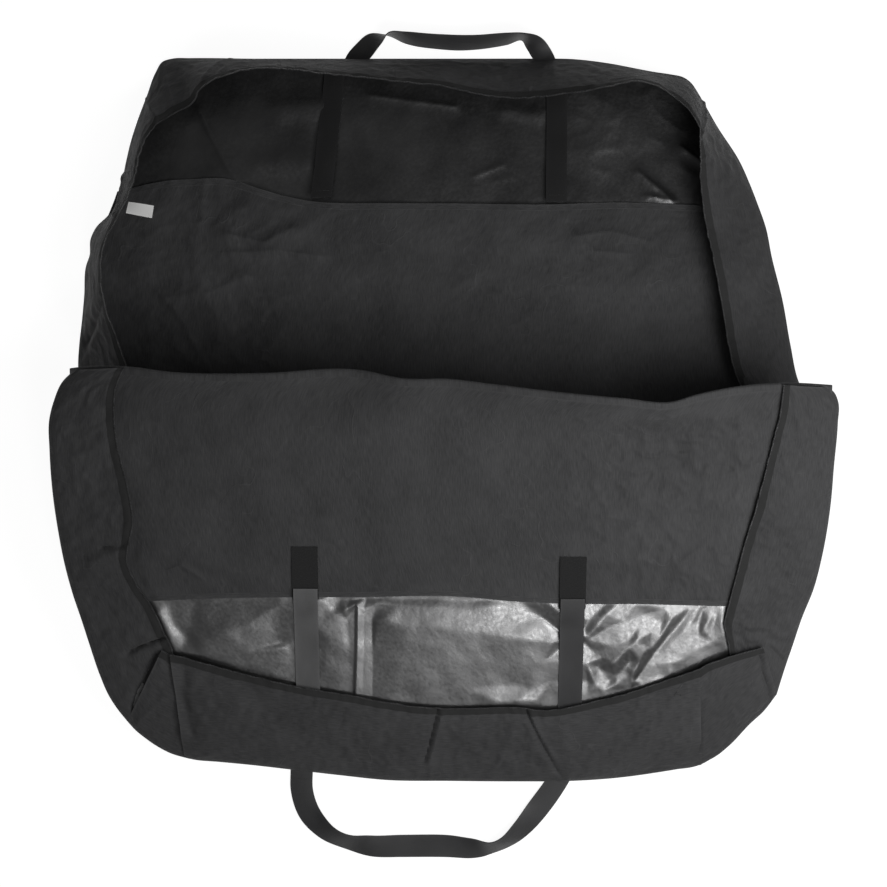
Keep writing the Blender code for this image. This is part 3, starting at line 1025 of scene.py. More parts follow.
@dataclass
class Band:
    """Walls that share one seam and one free edge: cloth, zip tape and coil.

    Attributes:
        seam: Points of the seam.
        edge: The point of the free edge opposite each of the seam's.
        drape: How the cloth hangs.
        runs: The sewn lengths that it is made of.
        rests_on: What it is sewn to or lies on; not used.
    """

    seam: Points
    edge: Points
    drape: Drape
    runs: Sequence[Run]
    rests_on: str
    step: float = 0.0036
    thickness: float = 0.0011
    overlap: int = 2
    tape_lift: float = 0.0007
    tape_columns: int = 4
    coil: Triple = (0.0018, 0.0028, 0.0020)
    coil_pitch: float = 0.0026

    def heights(self, at: Points, up: Points, share: Points) -> Points:
        """How far the cloth stands off the straight line from seam to edge.

        Args:
            at: Distances along the seam.
            up: Distances up the wall.
            share: Shares of the way up.

        Returns:
            One height for each point.
        """
        drape, noise = self.drape, Ripple(self.drape.seed)
        if drape.rolled:
            shape = (1 - np.exp(-up / 0.007)) * (1 - share**2.5)
        else:
            shape = np.sin(math.pi * share) ** 0.8
        loose = smooth(up / 0.03) * (1 - 0.6 * share)
        wave = noise.at(at, up * 0.6, 0.095) + 0.6 * (noise.folds(at, up * 0.8, 0.060) - 0.5)
        fine = 0.30 * (noise.folds(up, at, 0.026) - 0.5) + 0.14 * noise.at(up, at, 0.012)
        lift = drape.bulge * shape + drape.ripple * (loose * wave + smooth(up / 0.01) * fine)
        return lift + creased(drape.creases, at, up) * smooth(up / 0.016)

    def cloth(self) -> tuple[Cloth, Points, int]:
        """The whole band in one piece.

        Returns:
            Its cloth, its rows' distances along the seam, and the tape's first column.
        """
        along = lengths(self.seam)
        at = np.linspace(0, along[-1], int(along[-1] / self.step))
        seam, edge = hermite(along, self.seam, at), hermite(along, self.edge, at)
        reach = np.linalg.norm(edge - seam, axis=1)[:, None]
        count = max(12, int(reach.mean() / self.step))
        body = (reach - self.drape.tape) * np.linspace(0, 1, count)[None]
        tape = reach - self.drape.tape * np.linspace(1, 0, self.tape_columns + 1)[None, 1:]
        up = np.concatenate((body, tape), axis=1)
        share = up / reach
        flat = Cloth(seam[:, None] + (edge - seam)[:, None] * share[..., None], self.thickness)
        side = np.sign(flat.way[..., 2].mean())
        lift = self.heights(np.repeat(at[:, None], up.shape[1], axis=1), up, share)
        return flat.raised(side * lift), at, count

    def make(self) -> None:
        """Makes each run's pieces and puts them on their carrier."""
        cloth, at, split = self.cloth()
        side = np.sign(cloth.way[..., 2].mean())
        along = lengths(self.seam)
        for run in self.runs:
            begin = int(np.abs(at - along[run.first]).argmin())
            rows = slice(begin, int(np.abs(at - along[run.last]).argmin()) + 1)
            lay(
                f"{run.name}_wall_cloth", cloth.part(rows, slice(0, split)), OUTER, run.carrier,
                Slot.FABRIC, [f"{run.solids}_wall"],
            )
            tape = cloth.part(rows, slice(split - 1 - self.overlap, None)).raised(side * self.tape_lift)
            strip = tape.build(f"{run.name}_zip_tape", TAPE)
            place(strip, run.carrier, Slot.TAPE, [f"{run.solids}_zip"])
            across = tape.points[:, -1] - tape.points[:, -2]
            rim = tape.points[:, -1] + side * tape.way[:, -1] * self.tape_lift
            row = beads(f"{run.name}_zip_coil", rim, across, self.coil_pitch, self.coil, COIL)
            place(row, run.carrier, Slot.TAPE)


@dataclass
class Tub:
    """The back half: floor panel, lining, wheel pocket and the standing walls."""

    seam: Sequence[Pair] = (
        (0.650, 0.082), (0.637, 0.110), (0.622, 0.177), (0.608, 0.256), (0.588, 0.337), (0.578, 0.387),
        (0.563, 0.430), (0.549, 0.466), (0.532, 0.504), (0.490, 0.570), (0.461, 0.621), (0.452, 0.636),
        (0.445, 0.646), (0.432, 0.656), (0.407, 0.662), (0.380, 0.666), (0.353, 0.671), (0.301, 0.681),
        (0.236, 0.689),
        (0.163, 0.690), (0.066, 0.690), (0.004, 0.690), (-0.112, 0.690), (-0.211, 0.690), (-0.294, 0.690),
        (-0.348, 0.690), (-0.410, 0.691), (-0.455, 0.691), (-0.488, 0.690), (-0.504, 0.685), (-0.516, 0.666),
        (-0.531, 0.626), (-0.549, 0.578), (-0.561, 0.540), (-0.569, 0.506), (-0.579, 0.459), (-0.600, 0.411),
        (-0.624, 0.386), (-0.633, 0.366), (-0.634, 0.340), (-0.641, 0.318), (-0.644, 0.267), (-0.648, 0.222),
        (-0.653, 0.177), (-0.655, 0.146), (-0.650, 0.082),
    )
    edge: Sequence[Triple] = (
        (0.534, 0.082, 0.059), (0.519, 0.118, 0.053), (0.504, 0.172, 0.056), (0.491, 0.248, 0.058),
        (0.475, 0.327, 0.065), (0.465, 0.372, 0.066), (0.456, 0.412, 0.075), (0.450, 0.447, 0.086),
        (0.447, 0.480, 0.099), (0.443, 0.515, 0.112), (0.442, 0.538, 0.118), (0.441, 0.546, 0.118),
        (0.437, 0.556, 0.115), (0.425, 0.578, 0.108), (0.398, 0.603, 0.103), (0.372, 0.618, 0.112),
        (0.339, 0.624, 0.120),
        (0.290, 0.618, 0.116), (0.237, 0.610, 0.106), (0.158, 0.602, 0.097), (0.063, 0.606, 0.101),
        (0.004, 0.617, 0.110), (-0.108, 0.629, 0.117), (-0.203, 0.638, 0.121), (-0.282, 0.646, 0.123),
        (-0.334, 0.645, 0.122), (-0.392, 0.631, 0.115), (-0.424, 0.613, 0.100), (-0.445, 0.591, 0.080),
        (-0.472, 0.580, 0.074), (-0.492, 0.565, 0.082), (-0.507, 0.544, 0.099), (-0.520, 0.516, 0.112),
        (-0.528, 0.491, 0.116), (-0.532, 0.469, 0.118), (-0.540, 0.435, 0.120), (-0.557, 0.398, 0.120),
        (-0.575, 0.369, 0.118), (-0.586, 0.343, 0.116), (-0.591, 0.321, 0.117), (-0.591, 0.290, 0.116),
        (-0.588, 0.254, 0.115), (-0.577, 0.212, 0.109), (-0.564, 0.170, 0.096), (-0.555, 0.139, 0.087),
        (-0.549, 0.082, 0.084),
    )
    level: float = 0.0045
    face_grid: tuple[int, int] = (90, 150)
    face_height: float = 0.0018
    face_thickness: float = 0.0018
    lining_grid: tuple[int, int] = (210, 280)
    lining_height: float = 0.0048
    lining_thickness: float = 0.0008
    pocket_grid: tuple[int, int] = (190, 300)
    pocket_height: float = 0.0095
    pocket_thickness: float = 0.0009
    pocket_foot: float = -0.012
    piping_height: float = 0.0026
    piping_radius: float = 0.0022
    tape: float = 0.008
    foot: float = 0.006
    rise: float = 0.075
    corner: Pair = (0.664, -0.0475)
    centre: Pair = (0.0, 0.33)
    mouth: Sequence[Pair] = (
        (-0.585, 0.452), (-0.500, 0.470), (-0.440, 0.474), (-0.385, 0.474), (-0.330, 0.456), (-0.250, 0.436),
        (-0.100, 0.430), (0.000, 0.430), (0.180, 0.428), (0.330, 0.432), (0.430, 0.428), (0.545, 0.424),
    )

    def sides(self, rows: int, columns: int, step: float) -> tuple[Points, ...]:
        """The four edges of the floor's outline.

        Args:
            rows: Samples up each side.
            columns: Samples along the bottom and the top.
            step: How far inside the seam the outline stays.

        Returns:
            The bottom, right, top and left edges, flat on the floor.
        """
        flat = inset(self.seam, self.centre, step)
        x, y = self.corner
        x -= step
        right = curve([(x, y), *flat[:13]], rows)
        left = curve([(-x, y), *flat[:28:-1]], rows)
        upper = curve(flat[12:30][::-1], columns)
        lower = np.linspace((-x, y), (x, y), columns)
        return on_floor(lower, right, upper, left)

    def floor(self) -> None:
        """Makes the outer panel that the bag rests on."""
        grid = patch(*self.sides(*self.face_grid, 0.001))
        x, y = grid[..., 0], grid[..., 1]
        grid[..., 2] = self.face_height + 0.0008 * (1 + Ripple(3).at(x, y, 0.11))
        lay(
            "back_face_cloth", Cloth(grid, self.face_thickness), OUTER, "back_half",
            Slot.FABRIC, ["back_face_panel"],
        )

    def lining(self) -> None:
        """Makes the coated lining, with long soft folds above the pocket."""
        grid = patch(*self.sides(*self.lining_grid, 0.006))
        x, y = grid[..., 0], grid[..., 1]
        noise = Ripple(11)
        shown = smooth((y - 0.38) / 0.06)
        east = smooth((x - 0.10) / 0.2)
        lift = 0.0030 * (1 + noise.at(x, y, 0.20)) + (0.0008 + 0.0016 * east) * noise.folds(x, y, 0.13)
        lift += (0.0002 + 0.0006 * east) * noise.folds(y, x, 0.05)
        lines = (
            Crease([(0.348, 0.487), (0.404, 0.442)], 0.010, 0.004),
            Crease([(0.366, 0.444), (0.410, 0.436)], 0.007, 0.004),
            Crease([(0.43, 0.53), (0.47, 0.50)], 0.010, 0.004),
            Crease([(-0.44, 0.60), (-0.39, 0.50), (-0.37, 0.47)], 0.014, 0.005),
            Crease([(-0.33, 0.50), (-0.25, 0.505)], 0.020, 0.003, False),
            Crease([(-0.29, 0.600), (-0.22, 0.605)], 0.024, 0.005, False),
            Crease([(-0.13, 0.625), (-0.06, 0.615), (0.02, 0.605)], 0.012, 0.003),
            Crease([(0.11, 0.600), (0.16, 0.590)], 0.016, 0.003, False),
            Crease([(0.055, 0.480), (0.105, 0.500)], 0.008, 0.002),
            Crease([(0.090, 0.470), (0.120, 0.478)], 0.008, 0.001),
        )
        lift += creased(lines, x, y)
        grid[..., 2] = self.lining_height + shown * np.maximum(lift, 0)
        # The tub's lining wears the darker copy of the coating: painted shade.
        lay(
            "back_lining_cloth", Cloth(grid, self.lining_thickness), SHADED_COATING, "back_half",
            Slot.LINING, ["back_lining"],
        )

    def pocket(self) -> None:
        """Makes the wheel pocket's loose panel with its hem, and the seam round it."""
        rows, columns = self.pocket_grid
        upper = curve(self.mouth, columns)
        seam = np.array(self.seam)
        x, y = self.corner[0] - 0.012, self.pocket_foot
        right = [(x, y), *(seam[:6] - (0.022, 0)), upper[-1]]
        left = [(-x, y), *(seam[:-9:-1] + (0.020, 0)), upper[0]]
        lower = np.linspace(left[0], right[0], columns)
        grid = patch(*on_floor(lower, curve(right, rows), upper, curve(left, rows)))
        x, y = grid[..., 0], grid[..., 1]
        noise = Ripple(23)
        rise = np.linspace(0, 1, rows)[:, None]
        middle = np.sin(math.pi * np.linspace(0, 1, columns))[None, :] ** 0.5
        west = smooth((-0.20 - x) / 0.15)
        lift = self.pocket_height + 0.004 * rise * middle
        lift = lift + middle * (0.0035 * noise.at(x, y, 0.19) + 0.0030 * noise.folds(x, y, 0.15) * rise)
        wrinkled = 0.0060 * noise.folds(x, y * 0.7, 0.10) + 0.0020 * noise.folds(y, x, 0.04)
        lift = lift + middle * west * wrinkled
        lift = lift + 0.0010 * noise.at(x, y, 0.045) + 0.0005 * noise.folds(x, y, 0.02)
        lines = (
            Crease([(-0.39, 0.375), (-0.32, 0.36), (-0.27, 0.385)], 0.014, 0.006),
            Crease([(-0.40, 0.34), (-0.30, 0.345), (-0.22, 0.335)], 0.016, 0.005),
            Crease([(-0.35, 0.30), (-0.42, 0.27), (-0.50, 0.26)], 0.018, 0.005),
            Crease([(-0.43, 0.47), (-0.43, 0.40)], 0.010, 0.004),
            Crease([(-0.56, 0.32), (-0.48, 0.24), (-0.42, 0.13)], 0.020, 0.006),
            Crease([(0.24, 0.372), (0.30, 0.380), (0.37, 0.362)], 0.012, 0.003),
            Crease([(0.24, 0.372), (0.27, 0.345), (0.33, 0.34)], 0.012, 0.003),
            Crease([(0.10, 0.37), (0.22, 0.36)], 0.030, 0.004, False),
            Crease([(0.36, 0.30), (0.42, 0.20)], 0.025, 0.004, False),
        )
        lift += creased(lines, x, y) * middle
        grid[..., 2] = lift
        cloth = Cloth(grid, self.pocket_thickness)
        lay(
            "back_pocket_cloth", cloth, POCKET, "back_half",
            Slot.FABRIC, ["back_wheel_pocket", "back_pocket_seam"],
        )
        hem("back", cloth, "back_half", np.array((0.0, 0.0, 1.0)))

    def turn(self, wall: str, whole: int = -1, still: int = -1) -> Bend:
        """The bend of cloth that is sewn to the floor and turns with a wall above it.

        Args:
            wall: The wall's body.
            whole: At a corner, the station where the cloth turns with the wall.
            still: At a corner, the station where it stays with the floor.

        Returns:
            The bend, which grows with height and fades across a corner.
        """
        near, slope = np.array((0.0, 0.0, self.foot)), np.array((0.0, 0.0, 1 / self.rise))
        if whole >= 0:
            near[:2] = self.seam[whole]
            row = np.array(self.edge[whole][:2]) - near[:2]
            away = np.array((-row[1], row[0])) / np.hypot(*row)
            far = np.array(self.edge[still])
            slope[:2] = -away * (far[2] - self.foot) / self.rise / (far[:2] - near[:2]).dot(away)
        return Bend("back_half", wall, tuple(near), tuple(near + slope / slope.dot(slope)))

    def walls(self) -> None:
        """Makes the walls round the tub, in runs along its seam."""
        seam = np.array([(x, y, self.level) for x, y in self.seam])
        runs = (
            Run("back_right", 0, 9, self.turn("back_right_wall"), "back_right"),
            Run("back_right_corner_low", 9, 12, self.turn("back_right_wall", 9, 12), "back_right_corner"),
            Run("back_right_corner_high", 12, 14, self.turn("back_top_wall", 14, 12), "back_right_corner"),
            Run("back_top", 14, 26, self.turn("back_top_wall"), "back_top"),
            Run("back_left_corner_high", 26, 29, self.turn("back_top_wall", 26, 29), "back_left_corner"),
            Run("back_left_corner_low", 29, 33, self.turn("back_left_wall", 33, 29), "back_left_corner"),
            Run("back_left", 33, 45, self.turn("back_left_wall"), "back_left"),
        )
        creases = (
            Crease([(0.57, 0.0), (0.56, 0.12)], 0.012, 0.006),
            Crease([(1.44, 0.02), (1.50, 0.11)], 0.012, 0.003),
            Crease([(1.60, 0.12), (1.63, 0.01)], 0.014, 0.005),
            Crease([(1.78, 0.02), (1.86, 0.10)], 0.014, 0.006),
            Crease([(2.02, 0.11), (2.10, 0.02)], 0.014, -0.006),
        )
        drape = Drape(0.005, False, 0.0042, 31, self.tape, creases)
        Band(seam, np.array(self.edge), drape, runs, "back_face_cloth").make()

    def piping(self) -> None:
        """Makes the bead along the tub's seam."""
        x, y = self.corner
        line = curve([(x, y, 0.0), *((a, b, 0.0) for a, b in self.seam), (-x, y, 0.0)], 620)
        line[:, 2] = self.piping_height
        bead = tube("back_piping_cord", line, self.piping_radius, OUTER)
        place(bead, "back_half", Slot.FABRIC, ["back_edge_piping"])

    def make(self) -> None:
        """Makes every piece of the tub."""
        self.floor()
        self.lining()
        self.pocket()
        self.walls()
        self.piping()


# The folded front half


@dataclass
class Lid:
    """The front half, folded away from the tub with its inner side up."""

    fold_line: Sequence[Pair] = (
        (-0.670, 0.118), (-0.614, 0.128), (-0.536, 0.1295), (-0.454, 0.1195), (-0.310, 0.1178),
        (-0.136, 0.1228), (-0.073, 0.1094), (0.011, 0.1078), (0.068, 0.1011), (0.186, 0.0861),
        (0.300, 0.0750), (0.379, 0.0693), (0.420, 0.0810), (0.499, 0.0961), (0.571, 0.1011),
        (0.670, 0.0960),
    )
    depth: float = 0.260
    foot: float = -0.048
    settle: float = 0.11
    roll_ends: Pair = (-0.628, 0.648)
    centre: Pair = (0.0, 0.36)
    bend_reach: float = 0.07
    face_grid: tuple[int, int] = (150, 220)
    face_height: float = 0.0012
    face_thickness: float = 0.0016
    lining_grid: tuple[int, int] = (250, 500)
    lining_height: float = 0.0052
    lining_thickness: float = 0.0008
    pocket_grid: tuple[int, int] = (200, 380)
    pocket_height: float = 0.0078
    pocket_thickness: float = 0.0009
    pocket_foot: float = 0.011
    wall_height: float = 0.0035
    piping_height: float = 0.0018
    piping_radius: float = 0.0020
    tape: float = 0.0058
    gusset_half: float = 0.660
    gusset_grid: tuple[int, int] = (70, 240)
    gusset_thickness: float = 0.0016
    gusset_root: float = 0.003
    roll_columns: int = 300
    roll_thickness: float = 0.0014
    gore_thickness: float = 0.0012
    left_seam: Sequence[Pair] = (
        (-0.622, 0.004), (-0.642, 0.020), (-0.656, 0.045), (-0.664, 0.070), (-0.666, 0.119), (-0.666, 0.192),
        (-0.661, 0.264), (-0.653, 0.330), (-0.644, 0.377), (-0.631, 0.429), (-0.620, 0.475), (-0.605, 0.534),
        (-0.592, 0.572), (-0.577, 0.600), (-0.562, 0.622),
    )
    left_edge: Sequence[Triple] = (
        (-0.536, 0.002, 0.013), (-0.543, 0.014, 0.014), (-0.553, 0.040, 0.015), (-0.554, 0.068, 0.015),
        (-0.550, 0.108, 0.015), (-0.537, 0.180, 0.016), (-0.530, 0.248, 0.020), (-0.543, 0.316, 0.022),
        (-0.531, 0.358, 0.017), (-0.504, 0.406, 0.016), (-0.488, 0.448, 0.015), (-0.474, 0.490, 0.014),
        (-0.470, 0.545, 0.012), (-0.475, 0.570, 0.010), (-0.482, 0.590, 0.008),
    )
    right_seam: Sequence[Pair] = (
        (0.640, 0.004), (0.652, 0.012), (0.660, 0.028), (0.663, 0.071), (0.662, 0.149), (0.661, 0.215),
        (0.653, 0.306), (0.642, 0.369), (0.624, 0.427), (0.612, 0.475), (0.600, 0.522), (0.589, 0.570),
    )
    right_edge: Sequence[Triple] = (
        (0.567, 0.003, 0.012), (0.566, 0.018, 0.013), (0.564, 0.051, 0.014), (0.557, 0.090, 0.015),
        (0.547, 0.145, 0.015), (0.533, 0.215, 0.016), (0.515, 0.292, 0.017), (0.504, 0.349, 0.016),
        (0.493, 0.405, 0.016), (0.489, 0.436, 0.016), (0.496, 0.466, 0.015), (0.505, 0.505, 0.012),
    )
    left_facet_seam: Sequence[Pair] = (
        (-0.562, 0.622), (-0.548, 0.640), (-0.532, 0.655), (-0.516, 0.668), (-0.486, 0.686), (-0.455, 0.696),
    )
    left_facet_edge: Sequence[Triple] = (
        (-0.492, 0.484, 0.022), (-0.484, 0.488, 0.021), (-0.470, 0.502, 0.016), (-0.445, 0.530, 0.011),
        (-0.420, 0.560, 0.009), (-0.398, 0.590, 0.008),
    )
    right_facet_seam: Sequence[Pair] = (
        (0.457, 0.709), (0.490, 0.689), (0.510, 0.670), (0.547, 0.625), (0.566, 0.605), (0.589, 0.570),
    )
    right_facet_edge: Sequence[Triple] = (
        (0.400, 0.585, 0.016), (0.420, 0.548, 0.018), (0.445, 0.522, 0.022), (0.480, 0.502, 0.026),
        (0.515, 0.489, 0.027), (0.556, 0.477, 0.026),
    )
    top_seam: Sequence[Pair] = (
        (-0.462, 0.694), (-0.445, 0.698), (-0.404, 0.702), (-0.347, 0.708), (-0.276, 0.717), (-0.183, 0.729),
        (-0.105, 0.738), (0.012, 0.740), (0.129, 0.741), (0.230, 0.740), (0.301, 0.735), (0.407, 0.719),
        (0.462, 0.708),
    )
    top_edge: Sequence[Triple] = (
        (-0.478, 0.491, 0.024), (-0.455, 0.497, 0.022), (-0.408, 0.512, 0.018), (-0.345, 0.531, 0.0155),
        (-0.263, 0.552, 0.0155), (-0.170, 0.570, 0.015), (-0.090, 0.586, 0.014), (0.010, 0.596, 0.014),
        (0.120, 0.593, 0.0145), (0.202, 0.597, 0.0155), (0.305, 0.572, 0.0145), (0.400, 0.538, 0.0165),
        (0.448, 0.519, 0.025),
    )

    crushed: Sequence[Sequence[Triple]] = (
        ((-0.497, 0.402, 3.0), (-0.497, 0.414, 5.5), (-0.483, 0.451, 6.0), (-0.467, 0.488, 4.5)),
        ((-0.479, 0.393, 0.5), (-0.472, 0.428, 1.8), (-0.446, 0.466, 1.0)),
        ((-0.448, 0.402, 0.6), (-0.441, 0.447, 2.4), (-0.425, 0.471, 8.0)),
        ((-0.425, 0.471, 8.0), (-0.399, 0.462, 8.2), (-0.371, 0.451, 7.8), (-0.340, 0.436, 6.4),
         (-0.309, 0.417, 4.8), (-0.286, 0.402, 3.0), (-0.265, 0.389, 1.2)),
        ((-0.434, 0.399, -1.0), (-0.380, 0.393, -1.2), (-0.316, 0.388, -0.6)),
        ((-0.424, 0.495, 7.0), (-0.345, 0.488, 5.4), (-0.267, 0.466, 1.6)),
        ((-0.379, 0.510, 4.4), (-0.323, 0.518, 3.0), (-0.267, 0.518, 0.8)),
        ((-0.398, 0.518, 0.5), (-0.337, 0.534, 0.5), (-0.264, 0.551, 0.3)),
        ((-0.305, 0.421, 3.4), (-0.291, 0.454, 2.0), (-0.279, 0.480, 3.2)),
        ((-0.250, 0.414, 4.6), (-0.218, 0.447, 3.4)),
        ((-0.218, 0.391, 3.6), (-0.201, 0.402, 2.0), (-0.187, 0.415, 0.2)),
        ((-0.187, 0.417, 3.2), (-0.170, 0.408, 3.4), (-0.152, 0.399, 3.6), (-0.138, 0.408, 2.0)),
        ((-0.180, 0.391, -1.0), (-0.163, 0.393, -1.0)),
        ((-0.201, 0.466, 2.6), (-0.208, 0.510, 1.2), (-0.217, 0.555, 0.3)),
        ((-0.217, 0.466, 0.5), (-0.218, 0.510, 0.0)),
        ((-0.184, 0.451, 2.4), (-0.180, 0.503, 1.2), (-0.184, 0.558, 1.0)),
        ((-0.168, 0.425, 0.5), (-0.166, 0.484, 0.3), (-0.168, 0.562, 0.3)),
        ((-0.153, 0.406, 0.2), (-0.154, 0.447, 0.2), (-0.155, 0.484, 0.2), (-0.157, 0.525, 0.2),
         (-0.159, 0.568, 0.2)),
        ((-0.150, 0.406, 3.6), (-0.151, 0.447, 3.8), (-0.152, 0.484, 3.8), (-0.154, 0.525, 3.6),
         (-0.156, 0.570, 3.0)),
        ((-0.139, 0.417, 1.6), (-0.140, 0.484, 1.7), (-0.143, 0.570, 1.3)),
        ((-0.122, 0.425, 0.6), (-0.123, 0.484, 0.4), (-0.126, 0.570, 0.2)),
        ((-0.112, 0.397, 1.0), (-0.103, 0.425, 4.8), (-0.095, 0.399, 1.2)),
        ((-0.135, 0.389, -2.4), (-0.076, 0.388, -2.5), (-0.006, 0.388, -2.5), (0.064, 0.391, -2.4),
         (0.119, 0.397, -1.6)),
        ((-0.124, 0.402, 0.8), (-0.076, 0.402, 1.4), (-0.006, 0.401, 1.4), (0.039, 0.410, 1.2),
         (0.088, 0.425, 1.2), (0.133, 0.436, 1.8), (0.182, 0.446, 2.2)),
        ((-0.117, 0.438, 4.0), (-0.076, 0.439, 4.9), (-0.006, 0.441, 5.2), (0.064, 0.450, 5.0),
         (0.133, 0.462, 5.2), (0.189, 0.469, 5.4)),
        ((0.070, 0.402, 1.2), (0.109, 0.410, 0.4), (0.147, 0.421, -0.6)),
        ((-0.076, 0.493, 4.0), (-0.024, 0.484, 4.6), (0.032, 0.506, 3.6), (0.098, 0.518, 2.4)),
        ((0.144, 0.477, 4.6), (0.149, 0.514, 4.2), (0.156, 0.558, 3.4)),
        ((0.177, 0.506, 4.0), (0.189, 0.544, 3.0)),
        ((-0.090, 0.558, 2.6), (-0.024, 0.566, 2.2), (0.046, 0.558, 1.4), (0.098, 0.555, 1.0),
         (0.133, 0.555, 1.0)),
        ((-0.006, 0.599, 0.6), (0.053, 0.594, 2.0), (0.098, 0.584, 4.6), (0.133, 0.581, 5.6),
         (0.161, 0.583, 4.8), (0.178, 0.592, 2.4), (0.189, 0.601, 0.6)),
        ((0.140, 0.399, -1.4), (0.170, 0.423, -1.8), (0.200, 0.447, -1.4), (0.225, 0.462, -0.4),
         (0.248, 0.471, 1.0)),
        ((0.185, 0.399, 4.6), (0.206, 0.415, 6.8), (0.227, 0.438, 6.8), (0.250, 0.462, 4.4)),
        ((0.213, 0.399, 1.0), (0.232, 0.414, 2.6), (0.251, 0.425, 2.0)),
        ((0.251, 0.466, 3.2), (0.267, 0.440, 5.6), (0.283, 0.417, 5.4), (0.302, 0.399, 3.0),
         (0.332, 0.399, 3.4), (0.358, 0.401, 3.0)),
        ((0.255, 0.402, 0.4), (0.278, 0.404, 0.6)),
        ((0.244, 0.447, 1.0), (0.258, 0.425, 2.2)),
        ((0.262, 0.488, 1.2), (0.279, 0.499, 4.0), (0.298, 0.510, 7.6)),
        ((0.286, 0.443, 3.2), (0.293, 0.477, 5.0)),
        ((0.314, 0.432, 3.4), (0.325, 0.466, 6.2)),
        ((0.298, 0.510, 7.6), (0.311, 0.495, 7.6), (0.325, 0.480, 8.2), (0.337, 0.466, 8.8),
         (0.354, 0.486, 7.6), (0.345, 0.506, 6.6), (0.338, 0.525, 6.0), (0.335, 0.544, 4.4),
         (0.326, 0.558, 2.0)),
        ((0.352, 0.417, 1.0), (0.342, 0.440, 2.6), (0.363, 0.451, 3.4), (0.380, 0.432, 1.2)),
        ((0.304, 0.532, 2.2), (0.318, 0.518, 2.6), (0.328, 0.506, 2.6)),
        ((0.272, 0.518, 1.0), (0.293, 0.544, 0.8)),
        ((0.251, 0.510, 4.2), (0.258, 0.529, 4.6), (0.267, 0.551, 3.0), (0.274, 0.568, 1.6)),
        ((0.255, 0.544, 0.6), (0.253, 0.571, 1.2)),
        ((0.283, 0.562, 2.8), (0.304, 0.551, 4.0), (0.325, 0.532, 3.2)),
        ((0.385, 0.406, 2.4), (0.398, 0.425, 4.2), (0.377, 0.466, 4.0), (0.363, 0.484, 2.6)),
        ((0.429, 0.404, 0.4), (0.418, 0.425, 0.0), (0.406, 0.443, -0.4), (0.387, 0.466, -0.4),
         (0.368, 0.492, -0.4), (0.352, 0.518, -0.2), (0.337, 0.540, 0.0)),
        ((0.448, 0.404, 1.6), (0.438, 0.423, 2.2), (0.427, 0.438, 2.6), (0.408, 0.462, 2.0),
         (0.389, 0.486, 1.4), (0.370, 0.514, 1.0), (0.349, 0.547, 0.8)),
        ((0.450, 0.406, 0.6), (0.446, 0.428, 0.8), (0.446, 0.453, 2.2)),
        ((0.469, 0.404, 2.6), (0.462, 0.427, 5.2), (0.453, 0.447, 4.6), (0.446, 0.456, 2.4)),
        ((0.446, 0.454, 2.4), (0.443, 0.484, 3.4), (0.445, 0.518, 2.0)),
        ((0.432, 0.466, 3.4), (0.418, 0.503, 3.2)),
        ((0.485, 0.406, 4.8), (0.474, 0.421, 4.2), (0.485, 0.432, 7.0), (0.491, 0.454, 7.2),
         (0.498, 0.477, 5.6), (0.504, 0.490, 4.0)),
        ((0.467, 0.443, 4.0), (0.471, 0.469, 4.6), (0.485, 0.492, 3.0)),
        ((0.380, 0.510, 1.8), (0.385, 0.532, 1.0)),
        ((0.396, 0.510, 3.2), (0.401, 0.529, 3.0), (0.394, 0.540, 1.6)),
        ((0.411, 0.525, 1.4), (0.429, 0.523, 1.6)),
    )

    def shift(self, x: Points) -> Points:
        """How far the fold lies from the straight line of the joint.

        Args:
            x: Places across.

        Returns:
            One step for each place.
        """
        table = np.array(self.fold_line)
        y = hermite(table[:, 0], table[:, 1:], np.clip(x, -0.67, 0.67).ravel())[:, 0].reshape(x.shape)
        z = np.sqrt(self.depth**2 - (y - self.foot) ** 2)
        return np.stack((np.zeros(x.shape), y - FOLD[1], z - FOLD[2]), axis=-1)

    def world(self, x: Points, d: Points, h: Points) -> Points:
        """Places points of the front half.

        Args:
            x: Places across.
            d: Distances down from the fold.
            h: Heights straight up from the outer face.

        Returns:
            The points in the frame's own coordinates.
        """
        points = FOLD + d[..., None] * DOWN
        points[..., 0] = x
        points[..., 2] += h
        points += self.shift(x) * (1 - smooth(d / self.settle))[..., None]
        points[..., 2] = np.maximum(points[..., 2], 0.0009)
        return points

    def spot(self, x: float, d: float, h: float) -> Triple:
        """One point of the front half."""
        return tuple(self.world(*(np.array([value]) for value in (x, d, h)))[0])

    def outline(self, rows: int, columns: int, step: float) -> tuple[Points, ...]:
        """The four edges of the half's outline, in its own two coordinates.

        Args:
            rows: Samples up each side.
            columns: Samples along the fold and the far edge.
            step: How far inside the seam the outline stays.

        Returns:
            The fold, right, far and left edges.
        """
        right = self.right_seam + self.right_facet_seam[-2:2:-1]
        left = self.left_seam + self.left_facet_seam[1:3]
        far = self.left_facet_seam[2:-1] + self.top_seam + self.right_facet_seam[1:4]
        counted = ((right, rows), (far, columns), (left, rows))
        right, far, left = (curve(inset(line, self.centre, step), count) for line, count in counted)
        return np.linspace(left[0], right[0], columns), right, far, left

    def shown(self, x: Points, d: Points, margin: float) -> Points:
        """Where the inside shows between the folded walls.

        Args:
            x: Places across.
            d: Distances down from the fold.
            margin: How far under the walls it still counts as open.

        Returns:
            1 in the open, 0 under the walls.
        """
        west, east, far = (np.array(edge) for edge in (self.left_edge, self.right_edge, self.top_edge))
        inner = smooth((x - np.interp(d, west[:, 1], west[:, 0]) + margin) / 0.022)
        outer = smooth((np.interp(d, east[:, 1], east[:, 0]) - x + margin) / 0.022)
        return inner * outer * smooth((np.interp(x, far[:, 0], far[:, 1]) - d + margin) / 0.022)

    def fold_bend(self) -> Bend:
        """The bend of a layer that leaves the gusset and joins the front half."""
        return Bend("bottom_gusset", "front_half", tuple(FOLD), tuple(FOLD + self.bend_reach * DOWN))

